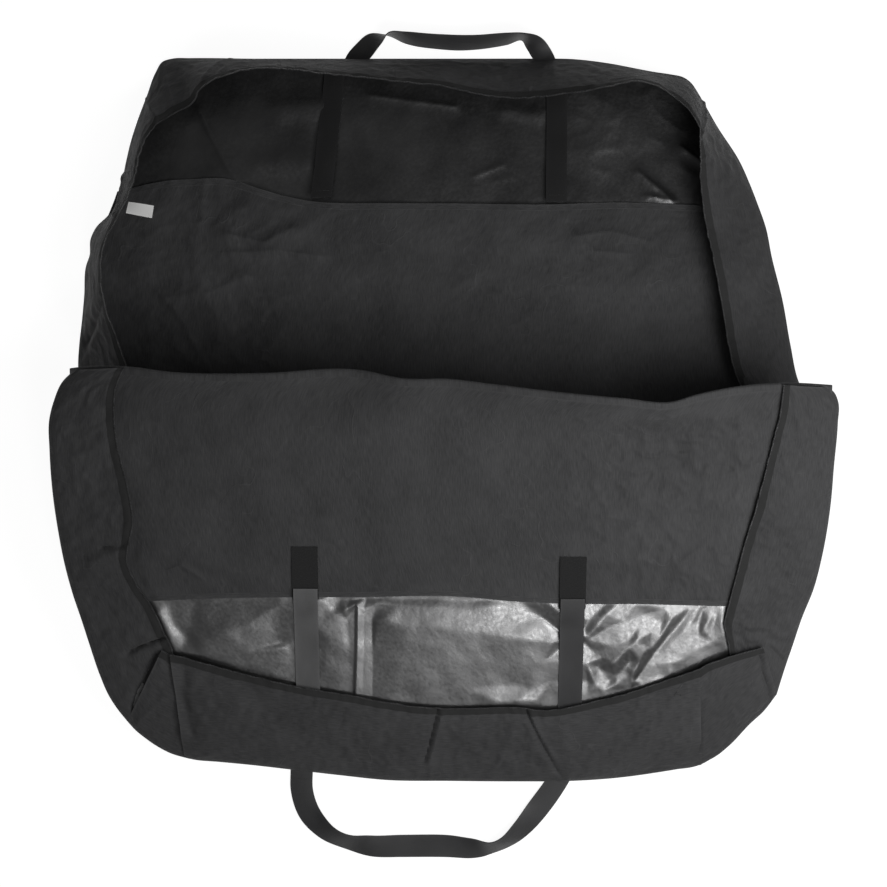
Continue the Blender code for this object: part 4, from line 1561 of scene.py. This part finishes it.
    def face(self) -> None:
        """Makes the outer panel, which hangs from the fold to the floor."""
        grid = patch(*self.outline(*self.face_grid, 0.002))
        x, d = grid[..., 0], grid[..., 1]
        loose = smooth((d - 0.02) / 0.1) * smooth((0.74 - d) / 0.08)
        sag = np.sin(math.pi * np.clip(d / 0.74, 0, 1))
        h = self.face_height + loose * (0.002 * Ripple(41).at(x, d, 0.2) - 0.004 * sag)
        lay(
            "front_face_cloth", Cloth(self.world(x, d, h), self.face_thickness), OUTER, self.fold_bend(),
            Slot.FABRIC, ["front_face_panel"],
        )

    def lining(self) -> None:
        """Makes the coated lining, crumpled where it shows between pocket and walls."""
        rows, columns = self.lining_grid
        grid = crowded(patch(*self.outline(240, 480, 0.008)), rows, ((0.48, 0.90, 2.2),))
        busy = ((0.365, 0.400, 3.5), (0.63, 0.90, 0.8))
        grid = crowded(grid.swapaxes(0, 1), columns, busy).swapaxes(0, 1)
        x, d = grid[..., 0], grid[..., 1]
        noise = Ripple(53)
        sharp = soften(Crumple(self.crushed).at(x, d), 4)
        bank = np.minimum(0.18, 0.085 + 1.4 * (d - 0.399))
        middle = smooth((x + 0.110) / 0.02) * smooth((bank - x) / 0.03) * smooth((0.580 - d) / 0.02)
        lift = sharp * (1 - middle) + soften(sharp, 8) * middle
        lift += 0.0007 * noise.at(x, d, 0.06) + 0.0003 * noise.at(x, d, 0.03)
        below = smooth((d - 0.386) / 0.012)
        lift = np.minimum(lift, 0.0015 + 0.02 * below)
        h = self.lining_height + self.shown(x, d, 0.016) * smooth((d - 0.37) / 0.014) * lift
        lay(
            "front_lining_cloth", Cloth(self.world(x, d, h), self.lining_thickness), COATED, self.fold_bend(),
            Slot.LINING, ["front_lining"],
        )

    def pocket(self) -> None:
        """Makes the wheel pocket's panel and its hem."""
        rows, columns = self.pocket_grid
        mouth = ((-0.625, 0.400), (-0.500, 0.392), (-0.259, 0.385), (-0.157, 0.385), (0.011, 0.383),
                 (0.140, 0.394), (0.202, 0.397), (0.355, 0.398), (0.496, 0.402), (0.615, 0.404))
        upper = curve(mouth, columns)
        low = self.pocket_foot
        right = [(0.640, low), (0.648, 0.03), (0.648, 0.15), (0.645, 0.22), (0.636, 0.30), upper[-1]]
        left = [(-0.622, low), (-0.640, 0.03), (-0.650, 0.15), (-0.650, 0.2), (-0.642, 0.3), upper[0]]
        lower = np.linspace(left[0], right[0], columns)
        grid = patch(lower, curve(right, rows), upper, curve(left, rows))
        x, d = grid[..., 0], grid[..., 1]
        noise = Ripple(67)
        rise = np.linspace(0, 1, rows)[:, None]
        east = smooth((x - 0.10) / 0.25)
        lift = 0.0012 * noise.at(x, d, 0.11) + 0.0026 * noise.at(x * 0.8, d, 0.24)
        lift += 0.0014 * noise.folds(x, d * 0.6, 0.17) + 0.0004 * noise.at(x, d, 0.03)
        lift += east * (0.0038 * noise.folds(d, x, 0.085) + 0.0020 * noise.folds(x, d, 0.032))
        lines = (
            Crease([(-0.43, 0.31), (-0.36, 0.34), (-0.30, 0.35)], 0.022, 0.004, False),
            Crease([(-0.470, 0.334), (-0.452, 0.326), (-0.438, 0.335), (-0.415, 0.352)], 0.007, 0.0035),
            Crease([(-0.605, 0.050), (-0.550, 0.012)], 0.010, -0.006),
            Crease([(0.340, 0.045), (0.420, 0.028)], 0.012, 0.003),
            Crease([(0.250, 0.230), (0.330, 0.250)], 0.012, 0.003),
            Crease([(0.452, 0.06), (0.440, 0.22)], 0.014, 0.003),
        )
        lift += creased(lines, x, d)
        open_part = self.shown(x, d, -0.004) * smooth((d - 0.01) / 0.05)
        seam = Crease([(-0.62, 0.0145), (0.64, 0.0145)], 0.006, 0.0012, False)
        h = self.pocket_height + 0.0022 * rise + open_part * (lift + 0.0016 * rise) + seam.at(x, d)
        cloth = Cloth(self.world(x, d, h), self.pocket_thickness)
        lay(
            "front_pocket_cloth", cloth, POCKET, self.fold_bend(),
            Slot.FABRIC, ["front_wheel_pocket", "front_pocket_seam"],
        )
        hem("front", cloth, "front_half", OFF)

    def walls(self) -> None:
        """Makes the folded walls, each from the panel's seam to its free edge."""
        left = Drape(0.0075, True, 0.0048, 71, self.tape, (
            Crease([(0.045, 0.035), (0.085, 0.085)], 0.012, 0.003),
            Crease([(0.330, 0.075), (0.333, 0.110)], 0.006, -0.008),
            Crease([(0.350, 0.055), (0.340, 0.10)], 0.012, 0.005),
            Crease([(0.395, 0.080), (0.400, 0.105)], 0.004, -0.003),
            Crease([(0.527, 0.130), (0.536, 0.068)], 0.007, -0.012),
            Crease([(0.500, 0.090), (0.505, 0.050)], 0.014, 0.004, False),
            Crease([(0.562, 0.108), (0.592, 0.076), (0.622, 0.046), (0.645, 0.030)], 0.010, -0.011),
        ))
        right = Drape(0.0075, True, 0.0048, 72, self.tape, (
            Crease([(0.44, 0.02), (0.50, 0.08)], 0.012, 0.005),
            Crease([(0.22, 0.11), (0.27, 0.06)], 0.016, 0.004, False),
            Crease([(0.455, 0.050), (0.460, 0.075), (0.470, 0.090)], 0.008, 0.004),
            Crease([(0.465, 0.015), (0.470, 0.035)], 0.008, 0.004),
            Crease([(0.520, 0.0), (0.500, 0.040)], 0.007, -0.006),
        ))
        west = Drape(0.0050, True, 0.0018, 73, self.tape, (
            Crease([(0.02, 0.02), (0.05, 0.10)], 0.012, 0.003),
            Crease([(0.100, 0.08), (0.085, 0.05)], 0.012, -0.0015, False),
        ))
        east = Drape(0.006, True, 0.0030, 74, self.tape, (
            Crease([(0.02, 0.03), (0.06, 0.11)], 0.010, 0.003),
            Crease([(0.0, 0.010), (0.19, 0.010)], 0.0035, -0.004),
            Crease([(0.176, 0.012), (0.182, 0.100)], 0.006, -0.006),
        ))
        top = Drape(0.0065, True, 0.0046, 75, self.tape, (
            Crease([(0.452, 0.145), (0.430, 0.045)], 0.007, -0.006),
            Crease([(0.462, 0.140), (0.438, 0.040)], 0.010, 0.005),
            Crease([(0.628, 0.145), (0.662, 0.060), (0.675, 0.02)], 0.007, -0.006),
            Crease([(0.638, 0.140), (0.672, 0.055)], 0.010, 0.005),
            Crease([(0.018, 0.185), (0.008, 0.130), (0.018, 0.060)], 0.010, -0.006, False),
            Crease([(0.08, 0.15), (0.16, 0.06), (0.25, 0.03)], 0.030, 0.004, False),
            Crease([(0.74, 0.02), (0.86, 0.12)], 0.020, 0.003, False),
            Crease([(0.78, 0.010), (0.96, 0.010)], 0.0035, -0.004),
            Crease([(0.56, 0.03), (0.60, 0.12)], 0.016, 0.003),
            Crease([(0.70, 0.03), (0.74, 0.10), (0.82, 0.13)], 0.014, 0.003),
        ))
        spots = (
            ("left", self.left_seam, self.left_edge, left, ((-0.668, 0.0), (-0.588, 0.570)), (-1.0, -0.14)),
            ("right", self.right_seam, self.right_edge, right, ((0.668, 0.0), (0.588, 0.570)), (1.0, -0.14)),
            ("left_corner", self.left_facet_seam, self.left_facet_edge, west,
             ((-0.588, 0.570), (-0.435, 0.737)), (-0.74, 0.67)),
            ("right_corner", self.right_facet_seam, self.right_facet_edge, east,
             ((0.588, 0.570), (0.435, 0.737)), (0.74, 0.67)),
            ("top", self.top_seam, self.top_edge, top, ((-0.435, 0.737), (0.435, 0.737)), (0.0, 1.0)),
        )
        for name, seam, edge, drape, axis, out in spots:
            a, b = (Vector(point) for point in axis)
            way = (b - a).normalized()
            near = a + way * (Vector(seam[len(seam) // 2]) - a).dot(way)
            inner = near - Vector(out).normalized() * 0.016
            carrier = Bend("front_half", f"front_{name}_wall", self.spot(*near, 0.0), self.spot(*inner, 0.0))
            low, high = np.array(seam), np.array(edge)
            Band(
                self.world(low[:, 0], low[:, 1], np.full(len(low), self.wall_height)),
                self.world(high[:, 0], high[:, 1], high[:, 2]), drape,
                [Run(f"front_{name}", 0, len(seam) - 1, carrier, f"front_{name}")], "front_pocket_cloth",
            ).make()

    def piping(self) -> None:
        """Makes the bead along the front half's seam."""
        line = self.left_seam + self.left_facet_seam[1:-1] + self.top_seam
        line += self.right_facet_seam[1:] + self.right_seam[-2::-1]
        flat = curve(inset(line, self.centre, 0.0025), 640)
        points = self.world(flat[:, 0], flat[:, 1], np.full(len(flat), self.piping_height))
        points[:, 2] = np.maximum(points[:, 2], 0.0022)
        bead = tube("front_piping_cord", points, self.piping_radius, OUTER)
        place(bead, "front_half", Slot.FABRIC, ["front_edge_piping"])

    def root(self, x: Points) -> Points:
        """Points of the seam where the gusset leaves the floor, at places across."""
        return np.stack((x, np.full(x.shape, self.foot), np.full(x.shape, self.gusset_root)), axis=-1)

    def gusset(self) -> None:
        """Makes the full-depth panel between the halves and the roll at its top."""
        rows, columns = self.gusset_grid
        unit = np.linspace(-1, 1, columns)[None]
        share = np.repeat(np.linspace(0.0, 0.955, rows)[:, None], columns, axis=1)
        narrow = smooth((share - 0.72) / 0.22)
        end = np.where(unit < 0, -self.roll_ends[0], self.roll_ends[1])
        x = unit * (self.gusset_half - (self.gusset_half - end) * narrow)
        top = FOLD + self.shift(x)
        top[..., 0] = x
        root = self.root(x)
        noise = Ripple(83)
        cloth = Cloth(root + (top - root) * share[..., None], self.gusset_thickness)
        slack = 0.004 * noise.at(x, share * 0.26, 0.14) + 0.003 * noise.folds(x, share * 0.3, 0.1)
        lay(
            "bottom_gusset_cloth", cloth.raised(np.sin(math.pi * share) * slack), OUTER, "bottom_gusset",
            Slot.FABRIC, ["bottom_gusset"],
        )
        count = self.roll_columns
        across = np.linspace(*self.roll_ends, count)
        crest = FOLD + self.shift(across)
        crest[:, 0] = across
        up = (crest - self.root(across)) / self.depth
        last = self.world(across, np.full(count, 0.0135), np.full(count, 0.0086))
        under = self.world(across, np.full(count, 0.030), np.full(count, 0.0066))
        over = last + (crest - last) * 0.9 + np.array((0, 0, 0.0085))
        t = np.linspace(0, 1, 18)[:, None, None]
        bend = (1 - t) ** 3 * (crest - up * 0.017) + 3 * t * (1 - t) ** 2 * (crest + up * 0.0125)
        bend = bend + 3 * t * t * (1 - t) * over + t**3 * last
        tuck = last + (under - last) * np.linspace(0.2, 1, 5)[:, None, None]
        cover = Cloth(np.concatenate((bend, tuck)), self.roll_thickness).build("fold_roll_cloth", POCKET)
        place(cover, self.fold_bend(), Slot.FABRIC)

    def gores(self) -> None:
        """Makes the fan of cloth at each end of the gusset."""
        for side, sign in (("left", -1.0), ("right", 1.0)):
            foot = np.array((sign * 0.6605, self.foot + 0.001, 0.004))
            low = np.array((sign * 0.6505, 0.084, 0.0045))
            high = np.array((sign * 0.541, 0.084, 0.071))
            top = FOLD + self.shift(np.array([sign * 0.652]))[0] * 0.5
            top[0] = sign * 0.6605
            far = foot + (top - foot) * 0.52
            edges = [np.linspace(*pair, 40) for pair in ((foot, low), (low, high), (far, high), (foot, far))]
            cloth = Cloth(patch(*edges), self.gore_thickness)
            u, v = np.meshgrid(np.linspace(0, 1, 40), np.linspace(0, 1, 40))
            lift = np.sin(math.pi * u) * np.sin(math.pi * v) * (0.006 + 0.008 * Ripple(91).folds(u, v, 0.5))
            carrier = Bend("back_half", "bottom_gusset", tuple(low + (0, -0.02, 0.01)), tuple(far))
            lay(
                f"{side}_gore_cloth", cloth.raised(-sign * lift), OUTER, carrier,
                Slot.FABRIC, [f"{side}_side_gore"],
            )

    def make(self) -> None:
        """Makes every piece of the front half."""
        self.gusset()
        self.gores()
        self.face()
        self.lining()
        self.pocket()
        self.walls()
        self.piping()


# Straps, handles and small parts


@dataclass
class Strap:
    """A flat length of webbing with stitches across its ends.

    Attributes:
        name: The piece's name.
        path: The middle line of the strap.
        sides: The way across it at each point.
        width: Its width.
        carrier: The body or bend that carries it.
        nodes: The solids that it stands for.
        finish: The finish of its webbing.
        stitched: The shares of its length where a row of stitches crosses it.
    """

    name: str
    path: Points
    sides: Points
    width: float
    carrier: str | Bend
    nodes: Sequence[str]
    finish: Finish
    stitched: Sequence[float] = ()
    thickness: float = 0.0019
    columns: int = 11
    crown: float = 0.0006
    stitch: Triple = (0.0024, 0.0007, 0.0006)
    stitch_pitch: float = 0.0032

    def make(self) -> bpy.types.Object:
        """Makes the strap, slightly crowned across, and its rows of stitches.

        Returns:
            The strap.
        """
        count = max(24, int(lengths(self.path)[-1] / 0.004))
        along = lengths(self.path)
        at = np.linspace(0, along[-1], count)
        path, sides = hermite(along, self.path, at), hermite(along, self.sides, at)
        cloth = Cloth(ribbon(path, sides, self.width, self.columns), self.thickness)
        arch = 1 - np.linspace(-1, 1, self.columns) ** 2
        noise = Ripple(len(self.name))
        wave = 0.0012 * noise.at(cloth.flat[..., 1], cloth.flat[..., 0], 0.06)
        cloth = cloth.raised(np.repeat(self.crown * arch[None], count, axis=0) + wave)
        piece = cloth.build(self.name, self.finish)
        place(piece, self.carrier, Slot.WEBBING, self.nodes)
        for number, share in enumerate(self.stitched):
            row = min(count - 2, max(1, int(share * (count - 1))))
            line = cloth.points[row] + cloth.way[row] * (self.thickness / 2 + 0.0002)
            across = np.tile(cloth.points[row + 1, 5] - cloth.points[row, 5], (self.columns, 1))
            name = f"{self.name}_stitches_{number}"
            stitch = beads(name, line[1:-1], across[1:-1], self.stitch_pitch, self.stitch, THREAD)
            place(stitch, self.carrier, Slot.WEBBING)
        return piece


@dataclass
class Trim:
    """The straps, patches, handles, label and zip ends."""

    tub: Tub
    lid: Lid
    strap_width: float = 0.042
    back_strap_width: float = 0.037
    handle_width: float = 0.040
    back_handle_width: float = 0.036
    patch_width: float = 0.0455
    patch_thickness: float = 0.0016
    label_thickness: float = 0.0006

    def front_straps(self) -> None:
        """Makes the two straps that come over the front pocket's hem to their patches."""
        for side, x, slip in (("left", -0.2385, 0.005), ("right", 0.2235, 0.024)):
            steps = ((0.612, 0.0070), (0.560, 0.0105), (0.520, 0.0120), (0.450, 0.0138), (0.418, 0.0150),
                     (0.395, 0.0182), (0.380, 0.0188), (0.3640, 0.0182))
            d, h = np.array(steps).T
            d = d + slip * smooth((0.56 - d) / 0.12)
            path = self.lid.world(np.full(len(d), x), d, h)
            sides = np.tile((1.0, 0.0, 0.0), (len(d), 1))
            # The left strap wears the lighter copy of the webbing: painted light.
            Strap(
                f"front_{side}_strap_webbing", path, sides, self.strap_width, f"front_{side}_strap",
                [f"front_{side}_strap"], LIT_WEBBING if side == "left" else WEBBING, (0.97,),
            ).make()
            rows = 22
            d = np.linspace(0.2865, 0.3835, rows) + slip
            path = self.lid.world(np.full(rows, x), d, 0.0136 + 0.0022 * (d - d[0]) / 0.1)
            sides = np.tile((1.0, 0.0, 0.0), (rows, 1))
            cloth = Cloth(ribbon(path, sides, self.patch_width, 12), self.patch_thickness)
            piece = cloth.build(f"front_{side}_loop_patch", LOOPS)
            place(piece, "front_half", Slot.LOOP, [f"front_{side}_patch"])

    def back_straps(self) -> None:
        """Makes the two straps on the tub's lining."""
        left = (
            (-0.194, 0.672, 0.012), (-0.200, 0.610, 0.013), (-0.209, 0.530, 0.016),
            (-0.214, 0.480, 0.017), (-0.219, 0.440, 0.019),
        )
        right = (
            (0.203, 0.650, 0.012), (0.203, 0.580, 0.013), (0.2025, 0.520, 0.016),
            (0.202, 0.470, 0.018), (0.202, 0.432, 0.019),
        )
        for side, line in (("left", left), ("right", right)):
            path = np.array(line)
            sides = np.tile((1.0, 0.06 if side == "left" else 0.0, 0.0), (len(path), 1))
            Strap(
                f"back_{side}_strap_webbing", path, sides, self.back_strap_width, f"back_{side}_strap",
                [f"back_{side}_strap"], BLACK_WEBBING, (0.03, 0.95),
            ).make()

    def back_handle(self) -> None:
        """Makes the carrying handle at the tub's top edge, lying on the floor."""
        stations = (
            ((-0.1660, 0.676, 0.0055), (0.67, -0.74, 0.0)),
            ((-0.1600, 0.687, 0.0055), (0.67, -0.74, 0.0)),
            ((-0.1421, 0.707, 0.0065), (0.67, -0.74, 0.05)),
            ((-0.1230, 0.725, 0.0110), (0.55, -0.62, 0.50)),
            ((-0.1010, 0.733, 0.0185), (0.12, -0.12, 0.98)),
            ((-0.0688, 0.7265, 0.0185), (0.0, 0.34, 0.94)),
            ((-0.0063, 0.7185, 0.0180), (0.0, 0.52, 0.86)),
            ((0.0600, 0.7180, 0.0180), (0.0, 0.52, 0.86)),
            ((0.1135, 0.7240, 0.0185), (0.0, 0.32, 0.95)),
            ((0.1430, 0.7275, 0.0185), (0.10, 0.10, 0.98)),
            ((0.1620, 0.7175, 0.0125), (0.62, 0.42, 0.62)),
            ((0.1760, 0.7000, 0.0070), (0.86, 0.46, 0.15)),
            ((0.1830, 0.6870, 0.0055), (0.92, 0.38, 0.0)),
            ((0.1870, 0.6760, 0.0055), (0.94, 0.34, 0.0)),
        )
        self.strap_on("back_handle", stations, self.back_handle_width, (0.686, 0.740))

    def front_handle(self) -> None:
        """Makes the carrying handle at the far edge of the front half."""
        stations = (
            ((-0.2547, -0.5860, 0.0060), (1.0, 0.0, 0.0)),
            ((-0.2545, -0.6220, 0.0045), (1.0, 0.05, 0.0)),
            ((-0.2400, -0.6650, 0.0060), (0.95, 0.40, 0.15)),
            ((-0.2080, -0.6980, 0.0120), (0.70, 0.60, 0.55)),
            ((-0.1700, -0.7140, 0.0150), (0.35, 0.75, 0.65)),
            ((-0.1320, -0.7220, 0.0090), (0.10, 0.98, 0.25)),
            ((-0.0747, -0.7230, 0.0050), (0.0, 1.0, 0.05)),
            ((0.0117, -0.7236, 0.0050), (0.0, 1.0, 0.05)),
            ((0.0495, -0.7265, 0.0080), (-0.05, 0.95, 0.30)),
            ((0.0890, -0.7240, 0.0140), (-0.30, 0.60, 0.75)),
            ((0.1143, -0.7120, 0.0150), (-0.60, 0.45, 0.70)),
            ((0.1400, -0.6900, 0.0110), (-0.75, 0.50, 0.45)),
            ((0.1720, -0.6520, 0.0060), (-0.88, 0.45, 0.10)),
            ((0.2000, -0.6130, 0.0050), (-0.95, 0.25, 0.0)),
            ((0.2150, -0.5880, 0.0060), (-1.0, 0.10, 0.0)),
        )
        self.strap_on("front_handle", stations, self.handle_width, (-0.600, -0.616))

    def strap_on(
        self, name: str, stations: Sequence[tuple[Triple, Triple]], width: float, sewn: Pair
    ) -> None:
        """Makes a handle, whose sewn ends lie on its half.

        Args:
            name: Its body and solid.
            stations: Points of its middle line, each with the way across it.
            width: The webbing's width.
            sewn: Where along Y its bend begins and ends.
        """
        carrier = Bend(name.replace("handle", "half"), name, (0.0, sewn[0], 0.0), (0.0, sewn[1], 0.0))
        path = np.array([point for point, _ in stations])
        sides = np.array([way for _, way in stations])
        Strap(f"{name}_webbing", path, sides, width, carrier, [name], WEBBING, (0.03, 0.97)).make()

    def care_label(self) -> None:
        """Makes the blank satin label that hangs inside the left wall."""
        rows, columns = 16, 12
        u = np.linspace(0, 1, rows)[:, None, None]
        v = np.linspace(0, 1, columns)[None, :, None]
        a, b = np.array((-0.548, 0.4205, 0.100)), np.array((-0.5055, 0.4150, 0.092))
        c, d = np.array((-0.5090, 0.3935, 0.090)), np.array((-0.553, 0.4010, 0.099))
        grid = (1 - u) * (1 - v) * a + u * (1 - v) * b + u * v * c + (1 - u) * v * d
        grid[..., 2] += 0.003 * np.sin(math.pi * u[..., 0]) * np.cos(1.6 * v[..., 0])
        lay(
            "care_label_cloth", Cloth(grid, self.label_thickness), LABEL, self.tub.turn("back_left_wall"),
            Slot.LABEL, ["care_label"],
        )

    def zip_parts(self) -> None:
        """Gives the sliders, pulls and stops their rubbed metal finish."""
        for name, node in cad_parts.items():
            if name.startswith(("zip_slider", "zip_pull", "zip_stop")):
                node.data.materials.clear()
                node.data.materials.append(METAL.material())
                LOG.info("%s: finish only", name)

    def make(self) -> None:
        """Makes every small part."""
        self.front_straps()
        self.back_straps()
        self.back_handle()
        self.front_handle()
        self.care_label()
        self.zip_parts()


# Camera, floor and light


@dataclass(frozen=True)
class Studio:
    """A white floor under a camera that looks straight down."""

    camera_height: float = 3.0
    camera_lens: float = 67.64
    sensor: float = 36.0
    floor_size: float = 40.0
    floor_colour: Triple = (0.24, 0.24, 0.24)
    floor_glow: float = 0.94
    fill: float = 0.12

    def camera(self) -> None:
        """Sets the camera over the middle of the open bag."""
        data = bpy.data.cameras.new("overhead")
        data.lens = self.camera_lens
        data.sensor_width = self.sensor
        camera = bpy.data.objects.new("overhead", data)
        camera.location = (0, 0, self.camera_height)
        bpy.context.scene.collection.objects.link(camera)
        bpy.context.scene.camera = camera

    def floor(self) -> None:
        """Lays the white floor, which keeps the bag's shadow."""
        half = self.floor_size / 2
        corners = ((-half, -half, 0), (half, -half, 0), (half, half, 0), (-half, half, 0))
        mesh = bpy.data.meshes.new("floor")
        mesh.from_pydata(corners, [], [(0, 1, 2, 3)])
        floor = bpy.data.objects.new("floor", mesh)
        bpy.context.scene.collection.objects.link(floor)
        material = bpy.data.materials.new("white_floor")
        graph = Graph(material)
        graph.set(Base_Color=(*self.floor_colour, 1), Roughness=0.9, Specular_IOR_Level=0.0)
        path = graph.node("LightPath").outputs
        seen = graph.maths("MAXIMUM", path["Is Camera Ray"], path["Is Glossy Ray"])
        glow = graph.maths("MULTIPLY", seen, self.floor_glow)
        emission = graph.node("Emission", {"Strength": glow}).outputs[0]
        both = graph.node("AddShader", {0: graph.shader.outputs[0], 1: emission}).outputs[0]
        graph.tree.links.new(both, graph.tree.nodes["Material Output"].inputs["Surface"])
        mesh.materials.append(material)

    def world(self) -> None:
        """Fills the room with even light, white where the camera sees it."""
        world = bpy.data.worlds.new("room")
        bpy.context.scene.world = world
        graph = Graph(world, "Background")
        path = graph.node("LightPath").outputs
        seen = graph.maths("MAXIMUM", path["Is Camera Ray"], path["Is Transmission Ray"])
        strength = graph.node("MapRange", {"Value": seen, 3: self.fill, 4: 1.0}).outputs["Result"]
        graph.link(strength, "Strength")
        graph.set(Color=(1, 1, 1, 1))

    def lamps(self) -> None:
        """Hangs a soft lamp close on the right and a larger one over the folded half."""
        for name, spot, aim, size, power in (
            ("side", (0.95, -0.35, 1.35), (0.2, 0.0, 0.1), 0.8, 13.0),
            ("front", (0.85, -2.3, 3.4), (0.1, -0.3, 0.1), 0.85, 24.0),
        ):
            data = bpy.data.lights.new(name, "AREA")
            data.size = size
            data.energy = power
            lamp = bpy.data.objects.new(name, data)
            lamp.location = spot
            way = Vector(aim) - Vector(spot)
            lamp.rotation_euler = way.to_track_quat("-Z", "Y").to_euler()
            bpy.context.scene.collection.objects.link(lamp)

    def make(self) -> None:
        """Sets up the camera, the floor and the light."""
        bpy.context.scene.view_settings.view_transform = "Standard"
        self.camera()
        self.floor()
        self.world()
        self.lamps()


def main() -> None:
    """Builds the scene in order and reports each piece."""
    logging.basicConfig(level=logging.INFO, format="%(name)s %(message)s")
    Studio().make()
    tub, lid = Tub(), Lid()
    tub.make()
    lid.make()
    Trim(tub, lid).make()


if __name__ == "__main__":
    main()
